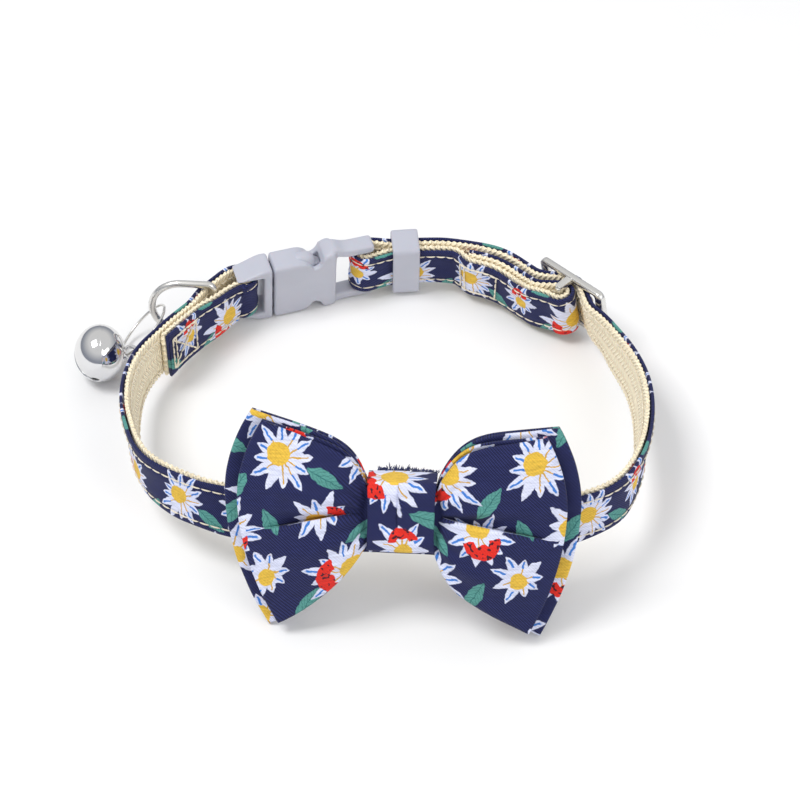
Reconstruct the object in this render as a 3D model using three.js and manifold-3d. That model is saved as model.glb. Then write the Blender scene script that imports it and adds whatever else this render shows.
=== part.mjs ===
// Pet bow tie collar: a printed ribbon sewn on cotton webbing, closed by a side release buckle, with a
// double bow on the front and a bell on a D-ring at the back. Units are millimetres and +Z is up.
//
// The closed collar stands on its edge as it does by itself: the two lower tips of the bow, the buckle
// and the bell touch the surface. The group's origin is the middle of its footprint, on that surface.
import * as THREE from "three";
import { mergeVertices } from "three/addons/utils/BufferGeometryUtils.js";
import Module from "manifold-3d";

// Strap
const LOOP_WIDTH = 97; // inside the loop, side to side
const LOOP_DEPTH = 84; // inside the loop, front to back
const STRAP_WIDTH = 10;
const WEBBING = 1.0; // thickness of the webbing
const RIBBON = 1.0; // thickness of the printed ribbon with its folded hems
const SEAM = 0.15; // between the webbing and the ribbon that is sewn on it
const PLY_GAP = 0.3; // between two plies of the strap that lie together
const LEFT_RETURN = 26; // sewn-down end at the male half of the buckle
const TAIL = 24; // sewn-down end at the slider, folded in between the two runs
const STRAP_STEP = 2.6; // distance between the strap's sections
const BACK_LEAN = -8; // degrees, at the buckle, the keeper and the slider

// Buckle
const BUCKLE_LENGTH = 29.2;
const BUCKLE_THICKNESS = 5.6;
const BUCKLE_WALL = 1.3;
const BUCKLE_RAIL = 2; // beside the strap, above and below
const FEMALE_RAIL_DEPTH = 3.6;
const MALE_SHOW = 7.6; // how much of the male half shows
const SHOULDER = 1.9;
const FEMALE_WINDOW = 7; // from the female half's body to the end of its frame
const BAR_RADIUS = 1.1; // the round bars that the strap turns round
const BAR_INSET = 1.4; // from the bar's centre to the buckle's end
const NOTCH_LENGTH = 6.6; // side cut-outs where the prongs are pressed
const NOTCH_DEPTH = 2.4;
const PRONG = 2.0; // width of a side prong
const GUIDE = 2.4; // width of the middle guide
const FIT = 0.3; // between hard pieces that slide or seat on each other
const STRAP_FIT = 0.25; // between the strap and a hard piece round it

// Keeper, slider
const KEEPER_LENGTH = 5.6;
const KEEPER_WALL = 0.9;
const KEEPER_RIM = 1.3; // wall above and below the strap
const KEEPER_PLACE = 8.4; // from the female bar, along the strap
const SLIDER_LENGTH = 18;
const SLIDER_PLATE = 1.4;
const SLIDER_BAR = 2; // width of an end bar
const SLIDER_RAIL = 1.2;
const SLIDER_PIN = 0.8; // radius of the middle bar

// Rings and bell
const D_WIRE = 0.75;
const D_ARM = 6.5;
const D_CORNER = 1.3; // radius of the wire's bends beside the straight bar
const D_PLACE = 8; // from the male bar, along the strap
const D_SWING = 32; // degrees that the D-ring is turned towards the front
const RING_WIRE = 0.28;
const RING_RADIUS = 6.4;
const RING_CLEAR = 0.15;
const BELL_RADIUS = 6;
const BELL_HALF = 5.1; // half the bell's height, along its own axis
const BELL_WALL = 0.5;
const BELL_SEAM = 0.12; // how far the rolled seam stands proud
const BELL_SLOT = 0.9;
const BELL_ASIDE = 0.13; // how far the bell lies to the front, as a share of its way to the left
const BAIL_RADIUS = 1.35;
const BAIL_WIRE = 0.4;
const PEA_RADIUS = 1.5;

// Bow
const CLOTH = 1.0; // one panel of the bow, two thin folded plies
const BOW_GAP = 0.3; // between panels that are pressed together
const BOW_BACK_WIDTH = 63;
const BOW_BACK_HEIGHT = 40;
const BOW_FRONT_WIDTH = 58;
const BOW_FRONT_HEIGHT = 37.6;
const PINCH_HEIGHT = 9; // height of the bow inside the knot
const PUFF = 3.2; // how far the front bow's panels stand up beside the knot
const KNOT_WIDTH = 12;
const KNOT_HEIGHT = 13.8;
const KNOT_FIT = 0.5; // between the pinched bows and the knot
const KNOT_WALL = 1.2;
const KNOT_RISE = 5.4; // the knot's centre above the strap's middle line
const BOW_ABOVE = 0.415; // share of a wing's height that lies above the knot's centre

// Worked-out sizes
const DEGREE = Math.PI / 180;
const LAYER = WEBBING + SEAM + RIBBON;
const INNER_HALF = WEBBING + SEAM / 2; // from the sewn plane to the webbing's free face
const OUTER_HALF = RIBBON + SEAM / 2; // from the sewn plane to the ribbon's free face
const BUCKLE_HEIGHT = STRAP_WIDTH + 2 * (FIT + BUCKLE_RAIL);
const FEMALE_BODY = BUCKLE_LENGTH - MALE_SHOW - FEMALE_WINDOW;
const BAR_REACH = BUCKLE_LENGTH / 2 - BAR_INSET;
const BAR_TURN = BAR_RADIUS + STRAP_FIT + INNER_HALF;
const PIN_TURN = SLIDER_PIN + STRAP_FIT + INNER_HALF;
const BACK_HEIGHT =
  (BUCKLE_HEIGHT * Math.cos(BACK_LEAN * DEGREE) - BUCKLE_THICKNESS * Math.sin(BACK_LEAN * DEGREE)) / 2;
const BOW_STACK = 4 * CLOTH + 3 * BOW_GAP; // both bows inside the knot
const KNOT_HALF_DEPTH = BOW_STACK / 2 + KNOT_FIT + KNOT_WALL;
const KNOT_OUT = LAYER + BOW_GAP + KNOT_HALF_DEPTH;

// Where the hard pieces sit on the loop: shares of half the loop's width and depth, and a heading.
const BUCKLE_SEAT = { across: -0.357, along: 0.822, heading: 198 };
const SLIDER_SEAT = { across: 0.73, along: 0.595, heading: 310 };

// The loop from the male bar round the left, the front and the right: shares of half the loop's width
// and depth, and the lean in degrees, outwards at the top.
const LEFT_AND_FRONT = [
  { across: -0.765, along: 0.526, lean: 2 },
  { across: -0.895, along: 0.293, lean: 4 },
  { across: -0.981, along: 0.074, lean: 8 },
  { across: -1.0, along: -0.162, lean: 10 },
  { across: -0.973, along: -0.398, lean: 6 },
  { across: -0.907, along: -0.612, lean: 0 },
  { across: -0.775, along: -0.769, lean: -12 },
  { across: -0.586, along: -0.881, lean: -21 },
  { across: -0.289, along: -0.957, lean: -24 },
  { across: 0.064, along: -0.993, lean: -24 },
  { across: 0.392, along: -1.007, lean: -20 },
  { across: 0.691, along: -0.933, lean: -13 },
  { across: 0.856, along: -0.812, lean: -6 },
  { across: 0.948, along: -0.598, lean: 3 },
  { across: 0.994, along: -0.274, lean: 10 },
  { across: 0.981, along: 0.012, lean: 8 },
  { across: 0.915, along: 0.252, lean: 2 },
];
const BACK = [
  { across: 0.478, along: 0.879, lean: BACK_LEAN },
  { across: 0.247, along: 0.957, lean: BACK_LEAN },
];
const FRONT_ROW = 9; // the row of LEFT_AND_FRONT that carries the knot
const LEVEL_FROM = 0.62; // the loop is level behind this share of its depth

const wasm = await Module();
wasm.setup();

const mix = (a, b, t) => a + (b - a) * t;
const clamp = (value) => Math.min(1, Math.max(0, value));
const ease = (t) => (1 - Math.cos(Math.PI * clamp(t))) / 2;

// Booleans

function solidOf(geometry) {
  const bare = geometry.index ? geometry.toNonIndexed() : geometry.clone();
  for (const name of Object.keys(bare.attributes)) {
    if (name !== "position") bare.deleteAttribute(name);
  }
  const merged = mergeVertices(bare, 1e-4);
  return new wasm.Manifold(
    new wasm.Mesh({
      numProp: 3,
      vertProperties: merged.attributes.position.array,
      triVerts: new Uint32Array(merged.index.array),
    }),
  );
}

function geometryOf(solid) {
  const mesh = solid.getMesh();
  return new THREE.BufferGeometry()
    .setAttribute("position", new THREE.BufferAttribute(mesh.vertProperties, 3))
    .setIndex(new THREE.BufferAttribute(mesh.triVerts, 1));
}

const join = (...pieces) =>
  geometryOf(pieces.map(solidOf).reduce((whole, piece) => whole.add(piece)));

const cut = (body, ...tools) =>
  geometryOf(tools.map(solidOf).reduce((rest, tool) => rest.subtract(tool), solidOf(body)));

// Shared shapes

function box(length, depth, height, x = 0, y = 0, z = 0) {
  return new THREE.BoxGeometry(length, depth, height).translate(x, y, z);
}

// A round bar along Z.
function bar(radius, height, x = 0, y = 0, sides = 16) {
  return new THREE.CylinderGeometry(radius, radius, height, sides)
    .rotateX(Math.PI / 2)
    .translate(x, y, 0);
}

// A rectangle with round corners, as a closed outline.
function roundRect(width, height, radius, Outline = THREE.Shape) {
  const [x, y] = [width / 2, height / 2];
  const outline = new Outline();
  outline.moveTo(-x + radius, -y);
  outline.lineTo(x - radius, -y);
  outline.absarc(x - radius, -y + radius, radius, -Math.PI / 2, 0);
  outline.lineTo(x, y - radius);
  outline.absarc(x - radius, y - radius, radius, 0, Math.PI / 2);
  outline.lineTo(-x + radius, y);
  outline.absarc(-x + radius, y - radius, radius, Math.PI / 2, Math.PI);
  outline.lineTo(-x, -y + radius);
  outline.absarc(-x + radius, -y + radius, radius, Math.PI, 1.5 * Math.PI);
  return outline;
}

// A plate of the given thickness with soft edges, its outline in X and Z.
function plate(outline, thickness, soft) {
  const options = {
    depth: thickness - 2 * soft,
    bevelEnabled: soft > 0,
    bevelThickness: soft,
    bevelSize: soft,
    bevelOffset: -soft,
    bevelSegments: 2,
    curveSegments: 4,
  };
  return new THREE.ExtrudeGeometry(outline, options)
    .translate(0, 0, soft - thickness / 2)
    .rotateX(Math.PI / 2);
}

// A closed grid: rings of points, joined one to the next. The ends are capped, or the last ring joins
// the first. The two halves of a ring are split along opposite diagonals, so two strips that share their
// sections meet without a twist between them.
function ringsToSolid(rings, closed) {
  const count = rings[0].length;
  const points = rings.flat().flatMap((p) => [p.x, p.y, p.z]);
  const faces = [];
  const last = closed ? rings.length : rings.length - 1;
  for (let i = 0; i < last; i += 1) {
    const next = (i + 1) % rings.length;
    for (let j = 0; j < count; j += 1) {
      const k = (j + 1) % count;
      const [a, b, c, d] = [i * count + j, i * count + k, next * count + k, next * count + j];
      if (2 * j < count) faces.push(a, c, b, a, d, c);
      else faces.push(a, d, b, b, d, c);
    }
  }
  if (!closed) {
    const end = (rings.length - 1) * count;
    for (let j = 1; j < count - 1; j += 1) {
      faces.push(0, j, j + 1);
      faces.push(end, end + j + 1, end + j);
    }
  }
  return new THREE.BufferGeometry()
    .setAttribute("position", new THREE.Float32BufferAttribute(points, 3))
    .setIndex(faces);
}

// A wire of round section along a closed line of points.
function closedWire(points, radius, sides) {
  const centre = points.reduce((sum, p) => sum.add(p), new THREE.Vector3()).divideScalar(points.length);
  const rings = points.map((point, i) => {
    const before = points.at(i - 1);
    const after = points[(i + 1) % points.length];
    const along = after.clone().sub(before).normalize();
    const aside = along.clone().cross(point.clone().sub(centre)).normalize();
    const outward = aside.clone().cross(along);
    return Array.from({ length: sides }, (_, k) => {
      const turn = (2 * Math.PI * k) / sides;
      return point
        .clone()
        .addScaledVector(outward, radius * Math.cos(turn))
        .addScaledVector(aside, -radius * Math.sin(turn));
    });
  });
  return ringsToSolid(rings, true);
}

// A wall of even thickness round a closed band: middle(a, v) is its mid surface, a goes once round and
// v from -1 to 1 across.
function bandWall(middle, thickness, around, across) {
  const small = 1e-3;
  const rings = around.map((a) => {
    const inside = [];
    const outside = [];
    for (let j = 0; j <= across; j += 1) {
      const v = (2 * j) / across - 1;
      const point = middle(a, v);
      const alongA = middle(a + small, v).sub(middle(a - small, v));
      const alongV = middle(a, Math.min(1, v + small)).sub(middle(a, Math.max(-1, v - small)));
      const normal = alongA.cross(alongV).normalize();
      outside.push(point.clone().addScaledVector(normal, thickness / 2));
      inside.unshift(point.clone().addScaledVector(normal, -thickness / 2));
    }
    return [...outside, ...inside];
  });
  return ringsToSolid(rings, true);
}

// The loop's line: the webbing's inner face at half its width

const spotOf = ({ across, along }) =>
  new THREE.Vector3((across * LOOP_WIDTH) / 2, (along * LOOP_DEPTH) / 2, 0);

const aheadOf = ({ heading }) =>
  new THREE.Vector3(Math.cos(heading * DEGREE), Math.sin(heading * DEGREE), 0);

// How far the bow's lowest points lie below the strap's middle line, with the strap leaning at the knot.
function frontHeight() {
  const lean = -LEFT_AND_FRONT[FRONT_ROW].lean * DEGREE;
  const drop = BOW_BACK_HEIGHT * (1 - BOW_ABOVE) - KNOT_RISE;
  const backFace = KNOT_OUT - BOW_STACK / 2;
  return drop * Math.cos(lean) - backFace * Math.sin(lean);
}

function liftAt(along) {
  const share = clamp((LEVEL_FROM - along) / (LEVEL_FROM + 1));
  return mix(BACK_HEIGHT, frontHeight(), share);
}

const raised = (row) => spotOf(row).setZ(liftAt(row.along));

// Five points in line keep the loop straight through the buckle, and three through the slider.
function loopRows() {
  const lead = 1.5;
  const buckle = spotOf(BUCKLE_SEAT).setZ(BACK_HEIGHT);
  const buckleAt = (reach) => ({
    point: buckle.clone().addScaledVector(aheadOf(BUCKLE_SEAT), reach),
    lean: BACK_LEAN,
  });
  const slider = raised(SLIDER_SEAT);
  const fall = (liftAt(LEFT_AND_FRONT.at(-1).along) - slider.z) / SLIDER_LENGTH;
  const sliderAt = (reach) => ({
    point: slider
      .clone()
      .addScaledVector(aheadOf(SLIDER_SEAT), -reach)
      .setZ(slider.z - fall * reach),
    lean: BACK_LEAN,
  });
  const plain = (row) => ({ point: raised(row), lean: row.lean });
  return [
    buckleAt(BAR_REACH),
    buckleAt(BAR_REACH + lead),
    ...LEFT_AND_FRONT.map(plain),
    sliderAt(-SLIDER_LENGTH / 2),
    sliderAt(0),
    sliderAt(SLIDER_LENGTH / 2),
    ...BACK.map(plain),
    buckleAt(-BAR_REACH - lead),
    buckleAt(-BAR_REACH),
    buckleAt(0),
  ];
}

function makeLoop() {
  const rows = loopRows();
  const line = new THREE.CatmullRomCurve3(rows.map((row) => row.point), true);
  const leans = new THREE.CatmullRomCurve3(
    rows.map((row) => new THREE.Vector3(row.lean, 0, 0)),
    true,
    "catmullrom",
  );
  const samples = 4000;
  const lengths = [0];
  for (let i = 1; i <= samples; i += 1) {
    const step = line.getPoint(i / samples).distanceTo(line.getPoint((i - 1) / samples));
    lengths.push(lengths[i - 1] + step);
  }
  const whole = lengths[samples];
  const rowLength = (row) => lengths[Math.round((row / rows.length) * samples)];

  // The share of the curve's rows at a length along the loop.
  function shareAt(s) {
    const wanted = ((s % whole) + whole) % whole;
    let low = 0;
    let high = samples;
    while (high - low > 1) {
      const half = Math.floor((low + high) / 2);
      if (lengths[half] <= wanted) low = half;
      else high = half;
    }
    return (low + (wanted - lengths[low]) / (lengths[high] - lengths[low])) / samples;
  }

  // The frame at a length along the loop: ahead, outwards and up the strap's width.
  function frameAt(s) {
    const share = shareAt(s);
    const point = line.getPoint(share);
    const ahead = line.getTangent(share);
    const lean = leans.getPoint(share).x * DEGREE;
    const level = new THREE.Vector3(ahead.y, -ahead.x, 0).normalize();
    const tipped = level.multiplyScalar(Math.sin(lean)).setZ(Math.cos(lean));
    const out = ahead.clone().cross(tipped).normalize();
    const up = out.clone().cross(ahead).normalize();
    return { point, ahead, out, up };
  }
  return { rows, whole, rowLength, frameAt };
}

const loop = makeLoop();
const MALE_BAR_AT = 0;
const SLIDER_ROW = LEFT_AND_FRONT.length + 3;
const SLIDER_AT = loop.rowLength(SLIDER_ROW);
const FEMALE_BAR_AT = loop.rowLength(loop.rows.length - 2);
const BUCKLE_AT = loop.rowLength(loop.rows.length - 1);
const KNOT_AT = loop.rowLength(FRONT_ROW + 2);
const KEEPER_AT = FEMALE_BAR_AT - KEEPER_PLACE;

// A group whose X runs ahead along the loop, Y into the loop and Z up the strap's width.
function groupAt(s, outwards = 0) {
  const frame = loop.frameAt(s);
  const group = new THREE.Group();
  group.position.copy(frame.point).addScaledVector(frame.out, outwards);
  group.quaternion.setFromRotationMatrix(
    new THREE.Matrix4().makeBasis(frame.ahead, frame.out.clone().negate(), frame.up),
  );
  return group;
}

// The strap

// Places of the sewn plane outwards of the loop's line, for each way that the plies lie.
const FLAT_RUN = INNER_HALF; // the outer run, alone or outermost
const SECOND_PLY = -PLY_GAP - INNER_HALF; // a return run under the outer run
const TAIL_PLY = -PLY_GAP - OUTER_HALF; // the tail under the outer run
const THIRD_PLY = TAIL_PLY - INNER_HALF - PLY_GAP - INNER_HALF; // the return run under the tail
const RING_PLY = D_WIRE + STRAP_FIT + INNER_HALF; // beside the D-ring's bar
const PIN_OUT = 0.1; // the slider's middle bar, outwards of the loop's line
const OVER_PIN = PIN_OUT + PIN_TURN + OUTER_HALF + PLY_GAP + INNER_HALF;
const SETTLE = 7; // how far a ply runs until it lies flat on the next one

// Points of one run: rows of a length along the loop and a place outwards of it.
function runPoints(rows) {
  const points = [];
  rows.slice(1).forEach((to, i) => {
    const from = rows[i];
    const steps = Math.max(1, Math.round(Math.abs(to.at - from.at) / STRAP_STEP));
    for (let k = 0; k < steps; k += 1) {
      const t = k / steps;
      points.push(strapPoint(mix(from.at, to.at, t), mix(from.out, to.out, ease(t))));
    }
  });
  return points;
}

function strapPoint(at, out) {
  const frame = loop.frameAt(at);
  return { point: frame.point.addScaledVector(frame.out, out), up: frame.up };
}

// Half a turn round a bar, from inside to outside (way -1) or from outside to inside (way 1).
function turnPoints(at, barOut, radius, way) {
  const frame = loop.frameAt(at);
  const centre = frame.point.clone().addScaledVector(frame.out, barOut);
  const steps = 8;
  return Array.from({ length: steps }, (_, k) => {
    const turn = (Math.PI * k) / steps;
    const point = centre
      .clone()
      .addScaledVector(frame.out, way * radius * Math.cos(turn))
      .addScaledVector(frame.ahead, way * radius * Math.sin(turn));
    return { point, up: frame.up };
  });
}

// The strap's whole way: sewn end, male bar, once round the neck through the slider, female bar, back
// inside through the keeper, round the slider's middle bar, and the tail in between.
function strapRoute() {
  const sewnEnd = MALE_BAR_AT + LEFT_RETURN;
  const ringFrom = D_PLACE;
  const ringTo = D_PLACE + SETTLE;
  const bump = SLIDER_LENGTH / 2;
  const tailEnd = SLIDER_AT + TAIL;
  return [
    ...runPoints([
      { at: sewnEnd, out: SECOND_PLY },
      { at: ringTo, out: SECOND_PLY },
      { at: ringFrom, out: -RING_PLY },
      { at: MALE_BAR_AT, out: -BAR_TURN },
    ]),
    ...turnPoints(MALE_BAR_AT, 0, BAR_TURN, -1),
    ...runPoints([
      { at: MALE_BAR_AT, out: BAR_TURN },
      { at: ringFrom, out: RING_PLY },
      { at: ringTo, out: FLAT_RUN },
      { at: SLIDER_AT - bump, out: FLAT_RUN },
      { at: SLIDER_AT, out: OVER_PIN },
      { at: SLIDER_AT + bump, out: FLAT_RUN },
      { at: FEMALE_BAR_AT - SETTLE, out: FLAT_RUN },
      { at: FEMALE_BAR_AT, out: BAR_TURN },
    ]),
    ...turnPoints(FEMALE_BAR_AT, 0, BAR_TURN, 1),
    ...runPoints([
      { at: FEMALE_BAR_AT, out: -BAR_TURN },
      { at: FEMALE_BAR_AT - SETTLE, out: SECOND_PLY },
      { at: tailEnd + SETTLE / 2, out: SECOND_PLY },
      { at: tailEnd - SETTLE / 4, out: THIRD_PLY },
      { at: SLIDER_AT + SETTLE, out: THIRD_PLY },
      { at: SLIDER_AT, out: PIN_OUT - PIN_TURN },
    ]),
    ...turnPoints(SLIDER_AT, PIN_OUT, PIN_TURN, -1),
    ...runPoints([
      { at: SLIDER_AT, out: PIN_OUT + PIN_TURN },
      { at: SLIDER_AT + SETTLE, out: TAIL_PLY },
      { at: tailEnd, out: TAIL_PLY },
    ]),
    strapPoint(tailEnd, TAIL_PLY),
  ];
}

// A flat strip along the route, between two distances to the printed side of the sewn plane.
function strip(route, from, to) {
  const half = STRAP_WIDTH / 2;
  const rings = route.map(({ point, up }, i) => {
    const before = route[Math.max(0, i - 1)].point;
    const after = route[Math.min(route.length - 1, i + 1)].point;
    const printed = after.clone().sub(before).cross(up).normalize();
    const corner = (side, rise) =>
      point.clone().addScaledVector(printed, side).addScaledVector(up, rise);
    return [corner(from, -half), corner(to, -half), corner(to, half), corner(from, half)];
  });
  return ringsToSolid(rings, false);
}

// The buckle: X towards the male half, Y into the loop, Z up

const FEMALE_END = -BUCKLE_LENGTH / 2;
const MALE_END = BUCKLE_LENGTH / 2;
const SHUT_LINE = MALE_END - MALE_SHOW;
const FEMALE_BODY_END = SHUT_LINE - FEMALE_BODY;
const STRAP_ROOM = STRAP_WIDTH + 2 * FIT; // height of a window that the strap passes
const SOCKET_HEIGHT = BUCKLE_HEIGHT - 2 * (BUCKLE_WALL + FIT);
const SOCKET_DEPTH = BUCKLE_THICKNESS - 2 * BUCKLE_WALL;
const SOCKET_END = FEMALE_BODY_END + BUCKLE_WALL + FIT;
const NOTCH_END = FEMALE_BODY_END + BUCKLE_WALL;

// A pair of rails beside the strap with a round bar across their ends.
function barFrame(from, barX, depth, turned) {
  const length = Math.abs(barX - from) + BAR_INSET;
  const middle = (from + barX + turned * BAR_INSET) / 2;
  const rise = (STRAP_ROOM + BUCKLE_RAIL) / 2;
  const rail = (side) =>
    plate(roundRect(length, BUCKLE_RAIL, BUCKLE_RAIL / 3), depth, BUCKLE_RAIL / 5).translate(
      middle,
      0,
      side * rise,
    );
  return [rail(-1), rail(1), bar(BAR_RADIUS, STRAP_ROOM + BUCKLE_RAIL, barX)];
}

// A side cut-out: a scoop that is steeper on its far side, as deep as NOTCH_DEPTH.
function notch(side) {
  const outline = new THREE.Shape();
  const top = BUCKLE_HEIGHT / 2;
  outline.moveTo(NOTCH_END + NOTCH_LENGTH, top);
  outline.quadraticCurveTo(NOTCH_END + NOTCH_LENGTH / 2, top, NOTCH_END + NOTCH_LENGTH / 3, top - NOTCH_DEPTH);
  outline.quadraticCurveTo(NOTCH_END + NOTCH_LENGTH / 12, top - NOTCH_DEPTH, NOTCH_END, top);
  outline.lineTo(NOTCH_END, top + 1);
  outline.lineTo(NOTCH_END + NOTCH_LENGTH, top + 1);
  const scoop = plate(outline, BUCKLE_THICKNESS + 2, 0);
  return side > 0 ? scoop : scoop.rotateX(Math.PI);
}

function femaleHalf() {
  const middle = (SHUT_LINE + FEMALE_BODY_END) / 2;
  const body = plate(roundRect(FEMALE_BODY, BUCKLE_HEIGHT, 1), BUCKLE_THICKNESS, 0.7).translate(middle, 0, 0);
  const rails = barFrame(FEMALE_BODY_END + 1, FEMALE_END + BAR_INSET, FEMALE_RAIL_DEPTH, -1);
  const socketLength = SHUT_LINE - SOCKET_END + 1;
  const socket = box(socketLength, SOCKET_DEPTH, SOCKET_HEIGHT, SOCKET_END + socketLength / 2);
  return cut(join(body, ...rails), socket, notch(1), notch(-1));
}

// A side prong that ends in the rounded catch that shows in the cut-out.
function prong(side, depth) {
  const outline = new THREE.Shape();
  const high = SOCKET_HEIGHT / 2 - FIT;
  const low = high - PRONG;
  const tip = NOTCH_END + FIT;
  const press = tip + NOTCH_LENGTH / 2;
  outline.moveTo(SHUT_LINE + 1, low);
  outline.lineTo(SHUT_LINE + 1, high);
  outline.lineTo(press, high);
  outline.quadraticCurveTo(tip + NOTCH_LENGTH / 3, high + FIT, tip + PRONG / 2, high - FIT);
  outline.lineTo(tip, high - PRONG / 2);
  outline.lineTo(tip + PRONG, low);
  const arm = plate(outline, depth, 0);
  return side > 0 ? arm : arm.rotateX(Math.PI);
}

function maleHalf() {
  const front = SHUT_LINE + FIT;
  const shoulder = plate(roundRect(SHOULDER, BUCKLE_HEIGHT, 0.6), BUCKLE_THICKNESS, 0.5).translate(
    front + SHOULDER / 2,
    0,
    0,
  );
  const rails = barFrame(front + SHOULDER - 1, MALE_END - BAR_INSET, BUCKLE_THICKNESS, 1);
  const depth = SOCKET_DEPTH - 2 * FIT;
  const guideLength = FEMALE_BODY * 0.7;
  const guide = box(guideLength, depth, GUIDE, front + 1 - guideLength / 2);
  return join(shoulder, ...rails, prong(1, depth), prong(-1, depth), guide);
}

// Keeper and slider

const KEEPER_DEPTH = LAYER * 2 + PLY_GAP + 2 * (STRAP_FIT + KEEPER_WALL);
const KEEPER_HEIGHT = STRAP_ROOM + 2 * KEEPER_RIM;

// A band round both runs: X along the strap.
function keeperBand() {
  const soft = 0.35;
  const outline = roundRect(KEEPER_DEPTH, KEEPER_HEIGHT, 1.1);
  outline.holes.push(roundRect(KEEPER_DEPTH - 2 * KEEPER_WALL, STRAP_ROOM, 0.4, THREE.Path));
  return new THREE.ExtrudeGeometry(outline, {
    depth: KEEPER_LENGTH - 2 * soft,
    bevelThickness: soft,
    bevelSize: soft,
    bevelOffset: -soft,
    bevelSegments: 2,
    curveSegments: 4,
  })
    .translate(0, 0, soft - KEEPER_LENGTH / 2)
    .rotateX(Math.PI / 2)
    .rotateZ(Math.PI / 2);
}

const SLIDER_RISE = 0.16; // share of the strap's rise over the pin, at the plate's end bars
const SLIDER_OUT = LAYER + SLIDER_RISE * (OVER_PIN - FLAT_RUN) + STRAP_FIT; // inner face of the plate

// A plate with two slots. Its middle bar is set in, so the run over it stays in the plate's depth.
function sliderPlate() {
  const middle = -(SLIDER_OUT + SLIDER_PLATE / 2);
  const height = STRAP_ROOM + 2 * SLIDER_RAIL;
  const outline = roundRect(SLIDER_LENGTH, height, 1.4);
  const window = roundRect(SLIDER_LENGTH - 2 * SLIDER_BAR, STRAP_ROOM, 0.5, THREE.Path);
  outline.holes.push(window);
  const face = plate(outline, SLIDER_PLATE, 0.3).translate(0, middle, 0);
  const pin = bar(SLIDER_PIN, STRAP_ROOM + SLIDER_RAIL, 0, -PIN_OUT);
  const lugDepth = SLIDER_OUT + SLIDER_PLATE - PIN_OUT;
  const lug = (side) =>
    box(
      2 * SLIDER_PIN,
      lugDepth,
      SLIDER_RAIL * 0.8,
      0,
      -(PIN_OUT - SLIDER_PIN / 2 + lugDepth / 2),
      (side * (STRAP_ROOM + SLIDER_RAIL * 0.9)) / 2,
    );
  return join(face, pin, lug(-1), lug(1));
}

// D-ring, jump ring and bell

const D_HALF = STRAP_WIDTH / 2 + FIT + D_WIRE; // half the D-ring's bar, at the wire's centre

// The D-ring's centre line in its own X (outwards) and Z, from the bar's lower end.
function dRingPath() {
  const corner = D_CORNER;
  const path = new THREE.Path();
  path.moveTo(0, -D_HALF + corner);
  path.absarc(corner, -D_HALF + corner, corner, Math.PI, 1.5 * Math.PI);
  path.lineTo(D_ARM, -D_HALF);
  path.absarc(D_ARM, 0, D_HALF, -Math.PI / 2, Math.PI / 2);
  path.lineTo(corner, D_HALF);
  path.absarc(corner, D_HALF - corner, corner, Math.PI / 2, Math.PI);
  return path;
}

function dRing() {
  const points = dRingPath().getSpacedPoints(32);
  const line = points.map((p) => new THREE.Vector3(p.x, 0, p.y));
  line.push(new THREE.Vector3(0, 0, 0));
  return closedWire(line, D_WIRE, 8);
}

// The D-ring's group: X points out of the loop, swung towards the front.
function dRingGroup() {
  const group = groupAt(D_PLACE);
  group.rotateZ(-Math.PI / 2 + D_SWING * DEGREE);
  group.updateMatrixWorld();
  return group;
}

// The jump ring hangs on the D-ring at this turn below its apex and leads down to the bell's bail.
const HANG_TURN = -15 * DEGREE;
const TO_BELL = new THREE.Vector3(-0.33, -0.935, -0.12).normalize();
const RING_TIP = new THREE.Vector3(0.62, -0.3, 0.72); // roughly, the ring's other direction

function ringPlace() {
  const onD = new THREE.Vector3(D_ARM + D_HALF * Math.cos(HANG_TURN), 0, D_HALF * Math.sin(HANG_TURN));
  const hook = onD.applyMatrix4(dRingGroup().matrixWorld);
  const toD = RING_RADIUS - RING_WIRE - RING_CLEAR - D_WIRE;
  const centre = hook.clone().addScaledVector(TO_BELL, toD);
  const normal = TO_BELL.clone().cross(RING_TIP).normalize();
  const aside = normal.clone().cross(TO_BELL).normalize();
  return { centre, normal, aside, bail: centre.clone().addScaledVector(TO_BELL, RING_RADIUS) };
}

function jumpRing({ centre, aside }) {
  const count = 28;
  const points = Array.from({ length: count }, (_, k) => {
    const turn = (2 * Math.PI * k) / count;
    return centre
      .clone()
      .addScaledVector(TO_BELL, RING_RADIUS * Math.cos(turn))
      .addScaledVector(aside, RING_RADIUS * Math.sin(turn));
  });
  return closedWire(points, RING_WIRE, 6);
}

const BAIL_OUT = BELL_HALF + BAIL_RADIUS * 0.75; // the bail's centre from the bell's

// Half the bell's section, closed on itself: outside from pole to pole, then back inside.
function bellSection() {
  const steps = 14;
  const side = (radius, half, lip) =>
    Array.from({ length: steps + 1 }, (_, k) => {
      const turn = -Math.PI / 2 + (Math.PI * k) / steps;
      const reach = k === 0 || k === steps ? 0 : radius * Math.cos(turn) + (k === steps / 2 ? lip : 0);
      return new THREE.Vector2(reach, half * Math.sin(turn));
    });
  const body = BELL_RADIUS - BELL_SEAM;
  const outside = side(body, BELL_HALF, BELL_SEAM);
  const inside = side(body - BELL_WALL, BELL_HALF - BELL_WALL, 0).reverse();
  return [...outside, ...inside, outside[0].clone()];
}

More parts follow.
